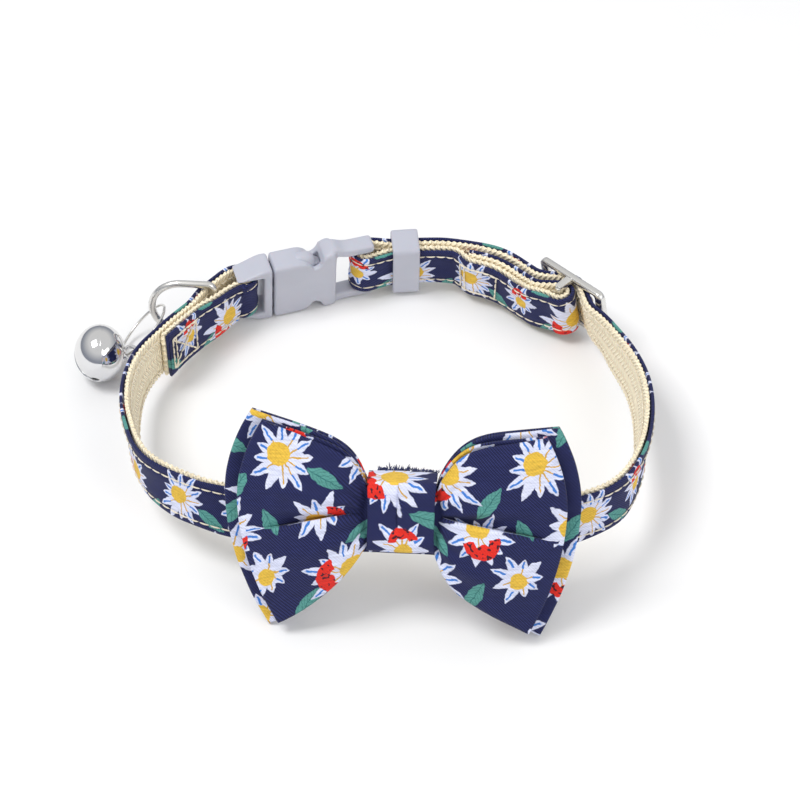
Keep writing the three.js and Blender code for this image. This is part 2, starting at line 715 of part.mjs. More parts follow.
// The bell: its axis is Z, the bail on top, one slot with round ends across the bottom.
function bell() {
  const shell = new THREE.LatheGeometry(bellSection(), 24).rotateX(Math.PI / 2);
  const bail = new THREE.TorusGeometry(BAIL_RADIUS, BAIL_WIRE, 6, 14).rotateX(Math.PI / 2);
  bail.translate(0, 0, BAIL_OUT);
  const slotTop = -BELL_HALF * 0.22;
  const slot = box(2 * BELL_RADIUS + 2, BELL_SLOT, BELL_HALF, 0, 0, slotTop - BELL_HALF / 2);
  const ends = new THREE.CylinderGeometry(BELL_SLOT, BELL_SLOT, 2 * BELL_RADIUS + 2, 10)
    .rotateZ(Math.PI / 2)
    .translate(0, 0, slotTop);
  return cut(join(shell, bail), slot, ends);
}

// The bell's group: its axis points at the jump ring, and it lies on the surface beside the strap.
function bellGroup({ bail, aside }) {
  const rise = BELL_RADIUS - bail.z;
  const level = Math.sqrt(BAIL_OUT ** 2 - rise ** 2);
  const away = new THREE.Vector3(-level, -level * BELL_ASIDE, rise).setLength(BAIL_OUT);
  const axis = away.clone().negate().normalize();
  const hole = aside.clone().addScaledVector(axis, -aside.dot(axis)).normalize();
  const group = new THREE.Group();
  group.position.copy(bail).add(away);
  group.quaternion.setFromRotationMatrix(
    new THREE.Matrix4().makeBasis(hole.clone().cross(axis), hole, axis),
  );
  return group;
}

// Bow: X across, Y into the loop, Z up, the origin at the knot's centre

// Outline of a wing: the side end stands out in the middle, a little more above than below.
const WING_BULGE = 0.17; // share of half the width
const WING_SKEW = 0.03;
const WING_OPEN = { above: 3.4, below: 1.7 }; // how fast a wing opens to its height beside the knot
const WING_STEPS = 22; // sections of one panel, from wing end to wing end
const HELD_STEPS = 2; // of these, inside each half of the knot
const WING_START = 1; // from the knot's edge to where a wing opens

// Mid surface of one bow, once round its two panels: a from 0 to 1 is the front panel, from 1 to 2 the
// back panel, both from end to end.
function bowSurface(width, height, depthAt, puff) {
  const half = width / 2;
  const held = (KNOT_WIDTH / 2 + WING_START) / half;
  const heldShare = (2 * HELD_STEPS) / WING_STEPS;
  const apart = (CLOTH + BOW_GAP) / 2;
  return (a, v) => {
    const turn = ((a % 2) + 2) % 2;
    const front = turn < 1;
    const w = front ? 2 * turn - 1 : 3 - 2 * turn;
    const t = Math.sin((Math.PI / 2) * clamp((Math.abs(w) - heldShare) / (1 - heldShare)));
    const reach = Math.sign(w) * (held * clamp(Math.abs(w) / heldShare) + (1 - held) * t);
    const end = half * (1 - WING_BULGE * v * v + WING_SKEW * v);
    const opened = 1 - (1 - t) ** (v > 0 ? WING_OPEN.above : WING_OPEN.below);
    const rise = mix(PINCH_HEIGHT / 2, height * (v > 0 ? BOW_ABOVE : 1 - BOW_ABOVE), opened);
    const crease = 1 - 0.85 * (1 - t) * Math.exp(-((v / 0.22) ** 2));
    const edge = 1 - 0.55 * v * v;
    const swell = front ? puff * Math.sin(Math.PI * t ** 0.75) * crease * edge : 0;
    const fold = Math.cos((w * Math.PI) / 2) ** 0.35;
    const side = (front ? 1 : -1) * apart * fold;
    return new THREE.Vector3(reach * end, -(depthAt + side + swell), v * rise);
  };
}

function bowPanels(width, height, depthAt, puff, steps) {
  const around = Array.from({ length: 2 * steps }, (_, k) => k / steps);
  return bandWall(bowSurface(width, height, depthAt, puff), CLOTH, around, 8);
}

// The knot: a band round both bows, a little fuller at the middle of its width.
function knotBand() {
  const around = Array.from({ length: 28 }, (_, k) => k / 28);
  const middle = (a, v) => {
    const turn = 2 * Math.PI * a;
    const square = (value) => Math.sign(value) * Math.abs(value) ** 0.4;
    const full = 1 + 0.03 * (1 - v * v);
    return new THREE.Vector3(
      (v * KNOT_WIDTH) / 2,
      square(Math.cos(turn)) * (KNOT_HALF_DEPTH - KNOT_WALL / 2),
      square(Math.sin(turn)) * ((KNOT_HEIGHT - KNOT_WALL) / 2) * full,
    );
  };
  return bandWall(middle, KNOT_WALL, around, 4);
}

// Materials

const finish = (color, roughness, metalness = 0) =>
  new THREE.MeshStandardMaterial({ color, roughness, metalness });
const cream = finish(0xf0e4c8, 0.9);
const print = finish(0x2b305e, 0.8);
const plastic = finish(0xc4c9d4, 0.45);
const nickel = finish(0xc9c9c6, 0.25, 1);
const chrome = finish(0xdfe1e4, 0.08, 1);

function piece(name, geometry, material) {
  const bare = geometry.index ? geometry.toNonIndexed() : geometry;
  bare.computeVertexNormals();
  const mesh = new THREE.Mesh(bare, material);
  mesh.name = name;
  return mesh;
}

// Assembly

function strap() {
  const route = strapRoute();
  const group = new THREE.Group();
  group.add(piece("webbing", strip(route, -INNER_HALF, -SEAM / 2), cream));
  group.add(piece("printed_ribbon", strip(route, SEAM / 2, OUTER_HALF), print));
  return group;
}

function buckle() {
  const group = groupAt(BUCKLE_AT);
  group.add(piece("buckle_female", femaleHalf(), plastic));
  group.add(piece("buckle_male", maleHalf(), plastic));
  return group;
}

function keeper() {
  const group = groupAt(KEEPER_AT, LAYER - (2 * LAYER + PLY_GAP) / 2);
  group.add(piece("keeper", keeperBand(), plastic));
  return group;
}

function slider() {
  const group = groupAt(SLIDER_AT);
  group.add(piece("slider", sliderPlate(), nickel));
  return group;
}

function ringsAndBell() {
  const group = new THREE.Group();
  const place = ringPlace();
  const dGroup = dRingGroup();
  dGroup.add(piece("d_ring", dRing(), nickel));
  const bells = bellGroup(place);
  bells.add(piece("bell", bell(), chrome));
  const pea = piece("bell_pea", new THREE.IcosahedronGeometry(PEA_RADIUS, 1), nickel);
  const roll = BELL_RADIUS - BELL_SEAM - BELL_WALL - PEA_RADIUS - FIT;
  pea.position.copy(bells.position).z -= roll;
  group.add(dGroup, piece("jump_ring", jumpRing(place), nickel), bells, pea);
  return group;
}

function bow() {
  const group = groupAt(KNOT_AT, KNOT_OUT);
  const lifted = new THREE.Group();
  lifted.position.z = KNOT_RISE;
  const apart = (2 * CLOTH + BOW_GAP + BOW_GAP) / 2;
  const back = bowPanels(BOW_BACK_WIDTH, BOW_BACK_HEIGHT, -apart, 0, WING_STEPS);
  const front = bowPanels(BOW_FRONT_WIDTH, BOW_FRONT_HEIGHT, apart, PUFF, WING_STEPS);
  lifted.add(piece("bow_back", back, print));
  lifted.add(piece("bow_front", front, print));
  lifted.add(piece("knot_band", knotBand(), print));
  group.add(lifted);
  return group;
}

const collar = new THREE.Group();
collar.add(strap(), buckle(), keeper(), slider(), ringsAndBell(), bow());

const part = new THREE.Group();
part.add(collar);
part.updateMatrixWorld(true);
const reach = new THREE.Box3().setFromObject(collar, true);
const middle = reach.getCenter(new THREE.Vector3());
collar.position.set(-middle.x, -middle.y, -reach.min.z);

export default part;
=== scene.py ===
"""Pet bow tie collar: the cloth, stitches, metal and plastic of the visual model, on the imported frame.

Sizes are in millimetres until a mesh is written. The loop's rows and the pieces' sizes are the ones of
the solid model, so each piece lies where its node lies.
"""

import bpy
import numpy as np
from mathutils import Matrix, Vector


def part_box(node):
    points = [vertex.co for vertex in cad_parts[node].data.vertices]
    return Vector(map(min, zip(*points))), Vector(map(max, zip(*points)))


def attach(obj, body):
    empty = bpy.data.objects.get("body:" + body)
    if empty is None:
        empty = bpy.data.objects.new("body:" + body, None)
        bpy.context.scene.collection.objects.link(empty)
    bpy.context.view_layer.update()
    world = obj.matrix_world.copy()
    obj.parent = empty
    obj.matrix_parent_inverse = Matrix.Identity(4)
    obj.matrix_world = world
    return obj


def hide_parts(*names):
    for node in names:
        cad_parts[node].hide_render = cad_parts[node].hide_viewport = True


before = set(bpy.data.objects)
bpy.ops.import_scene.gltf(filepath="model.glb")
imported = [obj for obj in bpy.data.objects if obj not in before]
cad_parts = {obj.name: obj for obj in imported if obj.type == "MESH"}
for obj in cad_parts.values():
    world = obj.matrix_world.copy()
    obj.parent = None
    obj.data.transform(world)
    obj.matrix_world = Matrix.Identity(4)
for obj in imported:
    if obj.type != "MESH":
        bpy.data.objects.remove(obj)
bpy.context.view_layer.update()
MM = 0.001
TAU = 2 * np.pi
RNG = np.random.default_rng(7)

# Sizes that the solid model holds too.
LOOP_HALF = np.array([48.5, 42.0])
STRAP_WIDTH = 10.0
WEBBING = 1.0
RIBBON = 1.0
SEAM = 0.15
PLY_GAP = 0.3
LEFT_RETURN = 26.0
TAIL = 24.0
BACK_LEAN = -8.0
BUCKLE_LENGTH = 29.2
BUCKLE_THICKNESS = 5.6
BUCKLE_HEIGHT = 14.6
BAR_RADIUS = 1.1
BAR_INSET = 1.4
FIT = 0.3
STRAP_FIT = 0.25
KEEPER_PLACE = 8.4
SLIDER_LENGTH = 18.0
SLIDER_PIN = 0.8
D_WIRE = 0.75
D_ARM = 6.5
D_CORNER = 1.3
D_PLACE = 8.0
D_SWING = 32.0
RING_WIRE = 0.28
RING_RADIUS = 6.4
BELL_RADIUS = 6.0
BELL_HALF = 5.1
BELL_WALL = 0.5
BELL_SLOT = 0.9
BELL_ASIDE = 0.13
BAIL_RADIUS = 1.35
BAIL_WIRE = 0.4
CLOTH = 1.0
BOW_GAP = 0.3
BOW_BACK = (63.0, 40.0)
BOW_FRONT = (58.0, 37.6)
BOW_ABOVE = 0.415
PINCH_HEIGHT = 9.0
PUFF = 3.2
KNOT_WIDTH = 12.0
KNOT_HEIGHT = 13.8
KNOT_FIT = 0.5
KNOT_WALL = 1.2
KNOT_RISE = 5.4

LAYER = WEBBING + SEAM + RIBBON
INNER_HALF = WEBBING + SEAM / 2
OUTER_HALF = RIBBON + SEAM / 2
BAR_REACH = BUCKLE_LENGTH / 2 - BAR_INSET
BAR_TURN = BAR_RADIUS + STRAP_FIT + INNER_HALF
PIN_TURN = SLIDER_PIN + STRAP_FIT + INNER_HALF
BOW_STACK = 4 * CLOTH + 3 * BOW_GAP
KNOT_HALF_DEPTH = BOW_STACK / 2 + KNOT_FIT + KNOT_WALL
KNOT_OUT = LAYER + BOW_GAP + KNOT_HALF_DEPTH
D_HALF = STRAP_WIDTH / 2 + FIT + D_WIRE

# Rows of the loop: shares of half its width and depth, and the lean in degrees.
LEFT_AND_FRONT = [
    (-0.765, 0.526, 2),
    (-0.895, 0.293, 4),
    (-0.981, 0.074, 8),
    (-1.0, -0.162, 10),
    (-0.973, -0.398, 6),
    (-0.907, -0.612, 0),
    (-0.775, -0.769, -12),
    (-0.586, -0.881, -21),
    (-0.289, -0.957, -24),
    (0.064, -0.993, -24),
    (0.392, -1.007, -20),
    (0.691, -0.933, -13),
    (0.856, -0.812, -6),
    (0.948, -0.598, 3),
    (0.994, -0.274, 10),
    (0.981, 0.012, 8),
    (0.915, 0.252, 2),
]
BACK = [(0.478, 0.879, BACK_LEAN), (0.247, 0.957, BACK_LEAN)]
BUCKLE_SEAT = (-0.357, 0.822, 198.0)
SLIDER_SEAT = (0.73, 0.595, 310.0)
FRONT_ROW = 9
LEVEL_FROM = 0.62
BUCKLE_LEAD = 1.5


# --- Line work -------------------------------


def unit(vectors):
    """Each vector divided by its length."""
    return vectors / np.maximum(np.linalg.norm(vectors, axis=-1, keepdims=True), 1e-12)


def lengths_along(points):
    """The length along a line of points, at each point."""
    return np.r_[0, np.cumsum(np.linalg.norm(np.diff(points, axis=0), axis=1))]


def looked_up(at, known, values):
    """Rows of values, known at some lengths, at other lengths."""
    return np.stack([np.interp(at, known, values[:, k]) for k in range(3)], axis=1)


def clamp(x):
    """x held between 0 and 1."""
    return np.clip(x, 0.0, 1.0)


def step_between(x, low, high):
    """0 below low, 1 above high, and 3q^2 - 2q^3 of the share q in between."""
    q = clamp((x - low) / (high - low))
    return q * q * (3 - 2 * q)


def spline(rows, share, even):
    """Closed Catmull-Rom curve through the rows. Between two rows it is the cubic with both rows' tangents:
    half the chord over the neighbours for even rows, or the same with each chord's square root as its
    time (centripetal)."""
    place = (share % 1.0) * len(rows)
    i = np.floor(place).astype(int)
    w = (place - i)[:, None]
    p = [rows[(i + k) % len(rows)] for k in (-1, 0, 1, 2)]
    if even:
        a, b = (p[2] - p[0]) / 2, (p[3] - p[1]) / 2
    else:
        d = [np.linalg.norm(p[k + 1] - p[k], axis=1, keepdims=True) ** 0.5 for k in range(3)]
        a = ((p[1] - p[0]) / d[0] - (p[2] - p[0]) / (d[0] + d[1]) + (p[2] - p[1]) / d[1]) * d[1]
        b = ((p[2] - p[1]) / d[1] - (p[3] - p[1]) / (d[1] + d[2]) + (p[3] - p[2]) / d[2]) * d[1]
    rise = p[2] - p[1]
    return p[1] + a * w + (3 * rise - 2 * a - b) * w**2 + (a + b - 2 * rise) * w**3


def heading(degrees):
    """The level unit vector at an angle from +X."""
    return np.array([np.cos(np.radians(degrees)), np.sin(np.radians(degrees)), 0.0])


class Loop:
    """The line round the neck: the webbing's inner face at half its width, and its lean."""

    def __init__(self):
        lean = np.radians(BACK_LEAN)
        self.back_height = (BUCKLE_HEIGHT * np.cos(lean) - BUCKLE_THICKNESS * np.sin(lean)) / 2
        front_lean = np.radians(-LEFT_AND_FRONT[FRONT_ROW][2])
        drop = BOW_BACK[1] * (1 - BOW_ABOVE) - KNOT_RISE
        self.front_height = drop * np.cos(front_lean) - (KNOT_OUT - BOW_STACK / 2) * np.sin(front_lean)
        rows = self.rows()
        self.points = np.array([row[:3] for row in rows])
        self.leans = np.array([[row[3], 0, 0] for row in rows], float)
        self.share = np.linspace(0, 1, 4001)
        self.lengths = lengths_along(spline(self.points, self.share, False))
        self.whole = self.lengths[-1]

    def lift(self, along):
        """Level behind LEVEL_FROM, and from there straight up to the front's height."""
        q = clamp((LEVEL_FROM - along) / (LEVEL_FROM + 1))
        return self.back_height + (self.front_height - self.back_height) * q

    def rows(self):
        """Male bar, left, front and right, slider, back, and the female bar, as x, y, z and lean."""

        def seat(across, along, z):
            return np.array([across * LOOP_HALF[0], along * LOOP_HALF[1], z])

        buckle = seat(*BUCKLE_SEAT[:2], self.back_height)
        slider = seat(*SLIDER_SEAT[:2], self.lift(SLIDER_SEAT[1]))
        fall = (self.lift(LEFT_AND_FRONT[-1][1]) - slider[2]) / SLIDER_LENGTH

        def buckle_at(reach):
            return (*(buckle + heading(BUCKLE_SEAT[2]) * reach), BACK_LEAN)

        def slider_at(reach):
            spot = slider - heading(SLIDER_SEAT[2]) * reach
            return (spot[0], spot[1], slider[2] - fall * reach, BACK_LEAN)

        def plain(row):
            return (*seat(row[0], row[1], self.lift(row[1])), row[2])

        return [
            buckle_at(BAR_REACH),
            buckle_at(BAR_REACH + BUCKLE_LEAD),
            *map(plain, LEFT_AND_FRONT),
            slider_at(-SLIDER_LENGTH / 2),
            slider_at(0),
            slider_at(SLIDER_LENGTH / 2),
            *map(plain, BACK),
            buckle_at(-BAR_REACH - BUCKLE_LEAD),
            buckle_at(-BAR_REACH),
            buckle_at(0),
        ]

    def row_length(self, row):
        """The length along the loop at which a row lies."""
        return self.lengths[round(row / len(self.points) * 4000)]

    def frames(self, s):
        """Point, ahead, outwards and up at lengths s. Up leans outwards by the row's lean."""
        share = np.interp(np.atleast_1d(s) % self.whole, self.lengths, self.share)
        point = spline(self.points, share, False)
        ahead = unit(spline(self.points, share + 1e-4, False) - spline(self.points, share - 1e-4, False))
        lean = np.radians(spline(self.leans, share, True)[:, :1])
        level = unit(np.stack([ahead[:, 1], -ahead[:, 0], 0 * ahead[:, 0]], axis=1))
        tipped = level * np.sin(lean) + np.array([0, 0, 1.0]) * np.cos(lean)
        out = unit(np.cross(ahead, tipped))
        return point, ahead, out, np.cross(out, ahead)


LOOP = Loop()
N_ROWS = len(LOOP.points)
SLIDER_AT = LOOP.row_length(len(LEFT_AND_FRONT) + 3)
FEMALE_BAR_AT = LOOP.row_length(N_ROWS - 2)
BUCKLE_AT = LOOP.row_length(N_ROWS - 1)
KNOT_AT = LOOP.row_length(FRONT_ROW + 2)
KEEPER_AT = FEMALE_BAR_AT - KEEPER_PLACE

FLAT_RUN = INNER_HALF
SECOND_PLY = -PLY_GAP - INNER_HALF
TAIL_PLY = -PLY_GAP - OUTER_HALF
THIRD_PLY = TAIL_PLY - INNER_HALF - PLY_GAP - INNER_HALF
RING_PLY = D_WIRE + STRAP_FIT + INNER_HALF
PIN_OUT = 0.1
OVER_PIN = PIN_OUT + PIN_TURN + OUTER_HALF + PLY_GAP + INNER_HALF
SETTLE = 7.0
EDGES = (-STRAP_WIDTH / 2, STRAP_WIDTH / 2)
SOLID_STEP = 2.6  # the strap's rings lie this far apart in the solid model
FINE_STEP = 0.35


def run(rows, step):
    """A run along the loop: between two rows the place outwards changes by half a cosine wave."""
    at, out = [], []
    for (a0, o0), (a1, o1) in zip(rows, rows[1:]):
        count = max(1, round(abs(a1 - a0) / step))
        t = np.arange(count) / count
        at.append(a0 + (a1 - a0) * t)
        out.append(o0 + (o1 - o0) * (1 - np.cos(np.pi * t)) / 2)
    at, out = np.concatenate(at), np.concatenate(out)
    point, _, outwards, up = LOOP.frames(at)
    return point + outwards * out[:, None], up


def turn(at, out, radius, way):
    """Half a turn round a bar that stands out from the loop's line by out."""
    point, ahead, outwards, up = LOOP.frames(at)
    phi = np.linspace(0, np.pi, 24, endpoint=False)[:, None]
    around = way * radius * (outwards * np.cos(phi) + ahead * np.sin(phi))
    return point + outwards * out + around, np.repeat(up, len(phi), axis=0)


def strap_route(step):
    """The strap's way, evenly resampled: sewn end, male bar, round the neck, female bar, back through
    the keeper, the slider's middle bar, and the tail. Gives points and the directions across."""
    ring_to = D_PLACE + SETTLE
    bump = SLIDER_LENGTH / 2
    tail_end = SLIDER_AT + TAIL
    male = [(LEFT_RETURN, SECOND_PLY), (ring_to, SECOND_PLY), (D_PLACE, -RING_PLY), (0, -BAR_TURN)]
    neck = [
        (0, BAR_TURN),
        (D_PLACE, RING_PLY),
        (ring_to, FLAT_RUN),
        (SLIDER_AT - bump, FLAT_RUN),
        (SLIDER_AT, OVER_PIN),
        (SLIDER_AT + bump, FLAT_RUN),
        (FEMALE_BAR_AT - SETTLE, FLAT_RUN),
        (FEMALE_BAR_AT, BAR_TURN),
    ]
    back = [
        (FEMALE_BAR_AT, -BAR_TURN),
        (FEMALE_BAR_AT - SETTLE, SECOND_PLY),
        (tail_end + SETTLE / 2, SECOND_PLY),
        (tail_end - SETTLE / 4, THIRD_PLY),
        (SLIDER_AT + SETTLE, THIRD_PLY),
        (SLIDER_AT, PIN_OUT - PIN_TURN),
    ]
    tail = [(SLIDER_AT, PIN_OUT + PIN_TURN), (SLIDER_AT + SETTLE, TAIL_PLY), (tail_end, TAIL_PLY)]
    pieces = [
        run(male, step),
        turn(0.0, 0.0, BAR_TURN, -1),
        run(neck, step),
        turn(FEMALE_BAR_AT, 0.0, BAR_TURN, 1),
        run(back, step),
        turn(SLIDER_AT, PIN_OUT, PIN_TURN, -1),
        run(tail, step),
    ]
    points = np.concatenate([piece[0] for piece in pieces])
    ups = np.concatenate([piece[1] for piece in pieces])
    lengths = lengths_along(points)
    even = np.linspace(0, lengths[-1], int(lengths[-1] / step) + 1)
    return even, looked_up(even, lengths, points), unit(looked_up(even, lengths, ups))


def shift_to_frame():
    """The collar's place in the frame: the ribbon's box there, less its box here."""
    _, points, ups = strap_route(SOLID_STEP)
    side = unit(np.cross(np.gradient(points, axis=0), ups))
    corners = [points + side * a + ups * b for a in (SEAM / 2, OUTER_HALF) for b in EDGES]
    here = np.concatenate(corners)
    low, high = (np.array(corner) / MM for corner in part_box("printed_ribbon"))
    return (low + high) / 2 - (here.min(axis=0) + here.max(axis=0)) / 2


SHIFT = shift_to_frame()


# --- Meshes ----------------------------------


def new_object(name, verts, faces, material, cloth=None):
    """A piece from vertices in millimetres. Faces are turned round if they enclose a negative volume."""
    verts = np.asarray(verts, float)
    faces = np.asarray(faces)
    a, b, c = (verts[faces[:, k]] for k in range(3))
    volume = np.einsum("ij,ij->", a, np.cross(b, c))
    if faces.shape[1] == 4:
        volume += np.einsum("ij,ij->", a, np.cross(c, verts[faces[:, 3]]))
    if volume < 0:
        faces = faces[:, ::-1]
    mesh = bpy.data.meshes.new(name)
    mesh.from_pydata(verts * MM, [], faces)
    mesh.polygons.foreach_set("use_smooth", np.ones(len(mesh.polygons), bool))
    if cloth is not None:
        values = np.zeros((len(verts), 3))
        values[:, :2] = cloth
        mesh.attributes.new("cloth", "FLOAT_VECTOR", "POINT").data.foreach_set("vector", values.ravel())
    mesh.materials.append(material)
    mesh.update()
    piece = bpy.data.objects.new(name, mesh)
    bpy.context.scene.collection.objects.link(piece)
    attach(piece, "root")
    return piece


def ring_faces(rings, count, closed):
    """Quads between neighbouring rings; without closed, each end is filled by a strip across its ring."""
    i = np.arange(rings if closed else rings - 1)[:, None]
    j = np.arange(count)[None, :]
    n, k = (i + 1) % rings, (j + 1) % count
    quads = np.stack([i * count + j, n * count + j, n * count + k, i * count + k], axis=-1).reshape(-1, 4)
    if closed:
        return quads
    h = np.arange(count // 2 - 1)
    cap = np.stack([h, h + 1, count - 2 - h, count - 1 - h], axis=1)
    return np.concatenate([quads, cap, (cap + (rings - 1) * count)[:, ::-1]])


def grid_piece(name, rings, material, closed=True, cloth=None):
    """A piece from an array of rings, each a closed row of points."""
    count, around = rings.shape[:2]
    flat = None if cloth is None else cloth.reshape(-1, 2)
    return new_object(name, rings.reshape(-1, 3), ring_faces(count, around, closed), material, flat)


def round_profile(width, thickness, count=10):
    """A flat oval: a superellipse of power 2.6 at the ends of a straight band, as side and rise."""
    angle = TAU * (np.arange(4 * count) + 0.5) / (4 * count)
    c, s = np.cos(angle), np.sin(angle)
    rise = np.sign(s) * np.abs(s) ** 0.45 * width / 2
    side = np.sign(c) * np.abs(c) ** 0.55 * thickness / 2
    return side, rise


def circle(centre, radius, first, second, count):
    """Points of a circle in the plane of two directions."""
    phi = TAU * np.arange(count)[:, None] / count
    return centre + radius * (first * np.cos(phi) + second * np.sin(phi))


def tube(points, radius, sides):
    """Rings of a round section on a closed line of points, in planes square to the line. The section keeps
    one direction, square to the line and to the direction in which the line bends least."""
    along = unit(np.roll(points, -1, axis=0) - np.roll(points, 1, axis=0))
    spread = np.linalg.svd(points - points.mean(axis=0), full_matrices=False)[2]
    first = unit(np.cross(along, spread[2] + 1e-6))
    second = np.cross(along, first)
    phi = TAU * np.arange(sides)[:, None] / sides
    return points[:, None] + radius * (first[:, None] * np.cos(phi) + second[:, None] * np.sin(phi))


def threads(name, starts, ends, bulge, radius, material, sides=5, steps=6):
    """Short threads from starts to ends that stand up by bulge times sin(pi t), with round tips: the
    radius goes as the root of 1 - (2t-1)^4."""
    t = np.linspace(0, 1, steps)[:, None]
    lift = unit(bulge)
    aside = np.cross(unit(ends - starts), lift)
    points = starts[:, None] + (ends - starts)[:, None] * t + bulge[:, None] * np.sin(np.pi * t)
    r = radius * np.sqrt(np.maximum(1 - (2 * t - 1) ** 4, 0.02))
    phi = TAU * np.arange(sides)[:, None] / sides
    section = lift[:, None] * np.cos(phi) + aside[:, None] * np.sin(phi)
    rings = points[:, :, None] + r[:, None] * section[:, None]
    one = ring_faces(steps, sides, True)[: (steps - 1) * sides]
    faces = (np.arange(len(starts))[:, None, None] * steps * sides + one).reshape(-1, 4)
    return new_object(name, rings.reshape(-1, 3), faces, material)


# --- Materials -------------------------------


class Nodes:
    """Short words for building a node tree."""

    def __init__(self, tree):
        self.tree = tree

    def add(self, kind, links=None, **settings):
        node = self.tree.nodes.new(kind)
        for key, value in settings.items():
            setattr(node, key, value)
        for key, value in (links or {}).items():
            self.feed(node.inputs[key], value)
        return node

    def feed(self, socket, value):
        if isinstance(value, bpy.types.NodeSocket):
            self.tree.links.new(value, socket)
        else:
            socket.default_value = value

    def math(self, operation, *values, clamped=False):
        links = dict(enumerate(values))
        return self.add("ShaderNodeMath", links, operation=operation, use_clamp=clamped).outputs[0]

    def vector(self, operation, *values):
        node = self.add("ShaderNodeVectorMath", dict(enumerate(values)), operation=operation)
        return node.outputs["Value" if operation in ("LENGTH", "DOT_PRODUCT") else "Vector"]

    def mix(self, factor, a, b, blend="MIX"):
        node = self.add("ShaderNodeMix", data_type="RGBA", blend_type=blend)
        for socket, value in zip((node.inputs[0], node.inputs[6], node.inputs[7]), (factor, a, b)):
            self.feed(socket, value)
        return node.outputs[2]

    def noise(self, vector, scale, detail=2.0, color=False):
        node = self.add("ShaderNodeTexNoise", {"Vector": vector, "Scale": scale, "Detail": detail})
        return node.outputs["Color" if color else "Fac"]

    def line(self, value, times, plus, clamped=False):
        """value times a number, plus a number."""
        return self.math("MULTIPLY_ADD", value, times, plus, clamped=clamped)

    def above(self, value, limit):
        """1 where value is over limit, and 0 elsewhere."""
        return self.math("GREATER_THAN", value, limit)

    def below(self, value, limit, soft):
        """1 where value is under limit, fading to 0 over soft."""
        return self.math("DIVIDE", self.math("SUBTRACT", limit, value), soft, clamped=True)

    def axes(self, vector):
        return self.add("ShaderNodeSeparateXYZ", {0: vector}).outputs

    def cloth(self):
        """The cloth's own coordinates, in millimetres."""
        return self.add("ShaderNodeAttribute", attribute_name="cloth").outputs["Vector"]

    def place(self):
        """The piece's own coordinates, in metres."""
        return self.add("ShaderNodeTexCoord").outputs["Object"]

    def lit(self, colour, *light):
        """The colour times a light: one for all, or one each for red, green and blue."""
        lights = dict(enumerate(light if len(light) == 3 else 3 * light))
        return self.mix(1.0, colour, self.add("ShaderNodeCombineColor", lights).outputs[0], "MULTIPLY")

    def times(self, *values):
        product = values[0]
        for value in values[1:]:
            product = self.math("MULTIPLY", product, value)
        return product


def linear(red, green, blue):
    """A colour as a screen shows it, from 0 to 255, as linear light."""
    c = np.array([red, green, blue]) / 255
    c = np.where(c <= 0.04045, c / 12.92, ((c + 0.055) / 1.055) ** 2.4)
    return (*map(float, c), 1.0)


NAVY = linear(8, 11, 42)
NAVY_LIGHT = linear(46, 52, 105)
PETAL = linear(226, 228, 246)
GOLD = linear(206, 160, 60)
YELLOW = linear(226, 186, 70)
RED = linear(222, 44, 34)
BLUE = linear(62, 124, 206)
TEAL = linear(88, 152, 144)
DEEP_TEAL = linear(50, 108, 108)
CREAM = linear(255, 240, 206)
THREAD = linear(236, 226, 205)
TILE = (45.0, 40.0, 1.0)  # the print repeats after this width and height

# Daisies of the print: x, y, radius, turn, petals, red dabs, seed.
DAISIES = [
    (6.0, 34.5, 7.7, 0.2, 12.0, 0.0, 1.0),
    (20.5, 36.0, 6.2, 1.1, 10.0, 1.0, 2.0),
    (34.0, 32.0, 8.7, 2.1, 14.0, 1.0, 3.0),
    (13.0, 23.0, 7.4, 3.0, 11.0, 1.0, 4.0),
    (26.5, 20.5, 6.4, 0.4, 9.0, 0.0, 5.0),
    (41.0, 19.0, 7.9, 1.4, 13.0, 1.0, 6.0),
    (3.5, 11.0, 5.8, 2.4, 9.0, 0.0, 7.0),
    (17.5, 9.5, 9.0, 5.2, 15.0, 1.0, 8.0),
    (32.5, 8.0, 7.0, 4.1, 11.0, 0.0, 9.0),
]
# Leaves of the print: x, y, length, turn.
LEAVES = [
    (13.5, 31.5, 7.5, 0.5),
    (26.5, 28.5, 8.0, 2.3),
    (42.5, 28.0, 7.5, -1.0),
    (4.0, 21.5, 7.5, 1.2),
    (20.5, 17.0, 7.5, -0.5),
    (33.5, 16.0, 7.0, 0.9),
    (10.5, 4.0, 8.0, -0.9),
    (25.5, 1.5, 8.5, 0.3),
    (40.5, 6.5, 7.5, 2.0),
]


def group(name, inputs):
    """An empty node group with a colour in and out, and the given inputs."""
    tree = bpy.data.node_groups.new(name, "ShaderNodeTree")
    tree.interface.new_socket("Colour", in_out="OUTPUT", socket_type="NodeSocketColor")
    for label, kind in {"Colour": "Color", "Cloth": "Vector", "Centre": "Vector", **inputs}.items():
        tree.interface.new_socket(label, in_out="INPUT", socket_type="NodeSocket" + kind)
    n = Nodes(tree)
    return n, n.add("NodeGroupInput").outputs, n.add("NodeGroupOutput").inputs["Colour"]


def local_place(n, source, wobble):
    """The cloth's place from a motif's centre, across the repeat, with a painted edge's wobble."""
    apart = n.vector("SUBTRACT", source["Cloth"], source["Centre"])
    half = tuple(x / 2 for x in TILE)
    wrapped = n.vector("WRAP", apart, half, tuple(-x for x in half))
    unsteady = n.noise(source["Cloth"], 0.8, 2.0, color=True)
    around = n.vector("SUBTRACT", unsteady, (0.5, 0.5, 0.5))
    moved = n.vector("MULTIPLY", around, (wobble, wobble, 0.0))
    return n.vector("MULTIPLY", n.vector("ADD", wrapped, moved), (1.0, 1.0, 0.0))


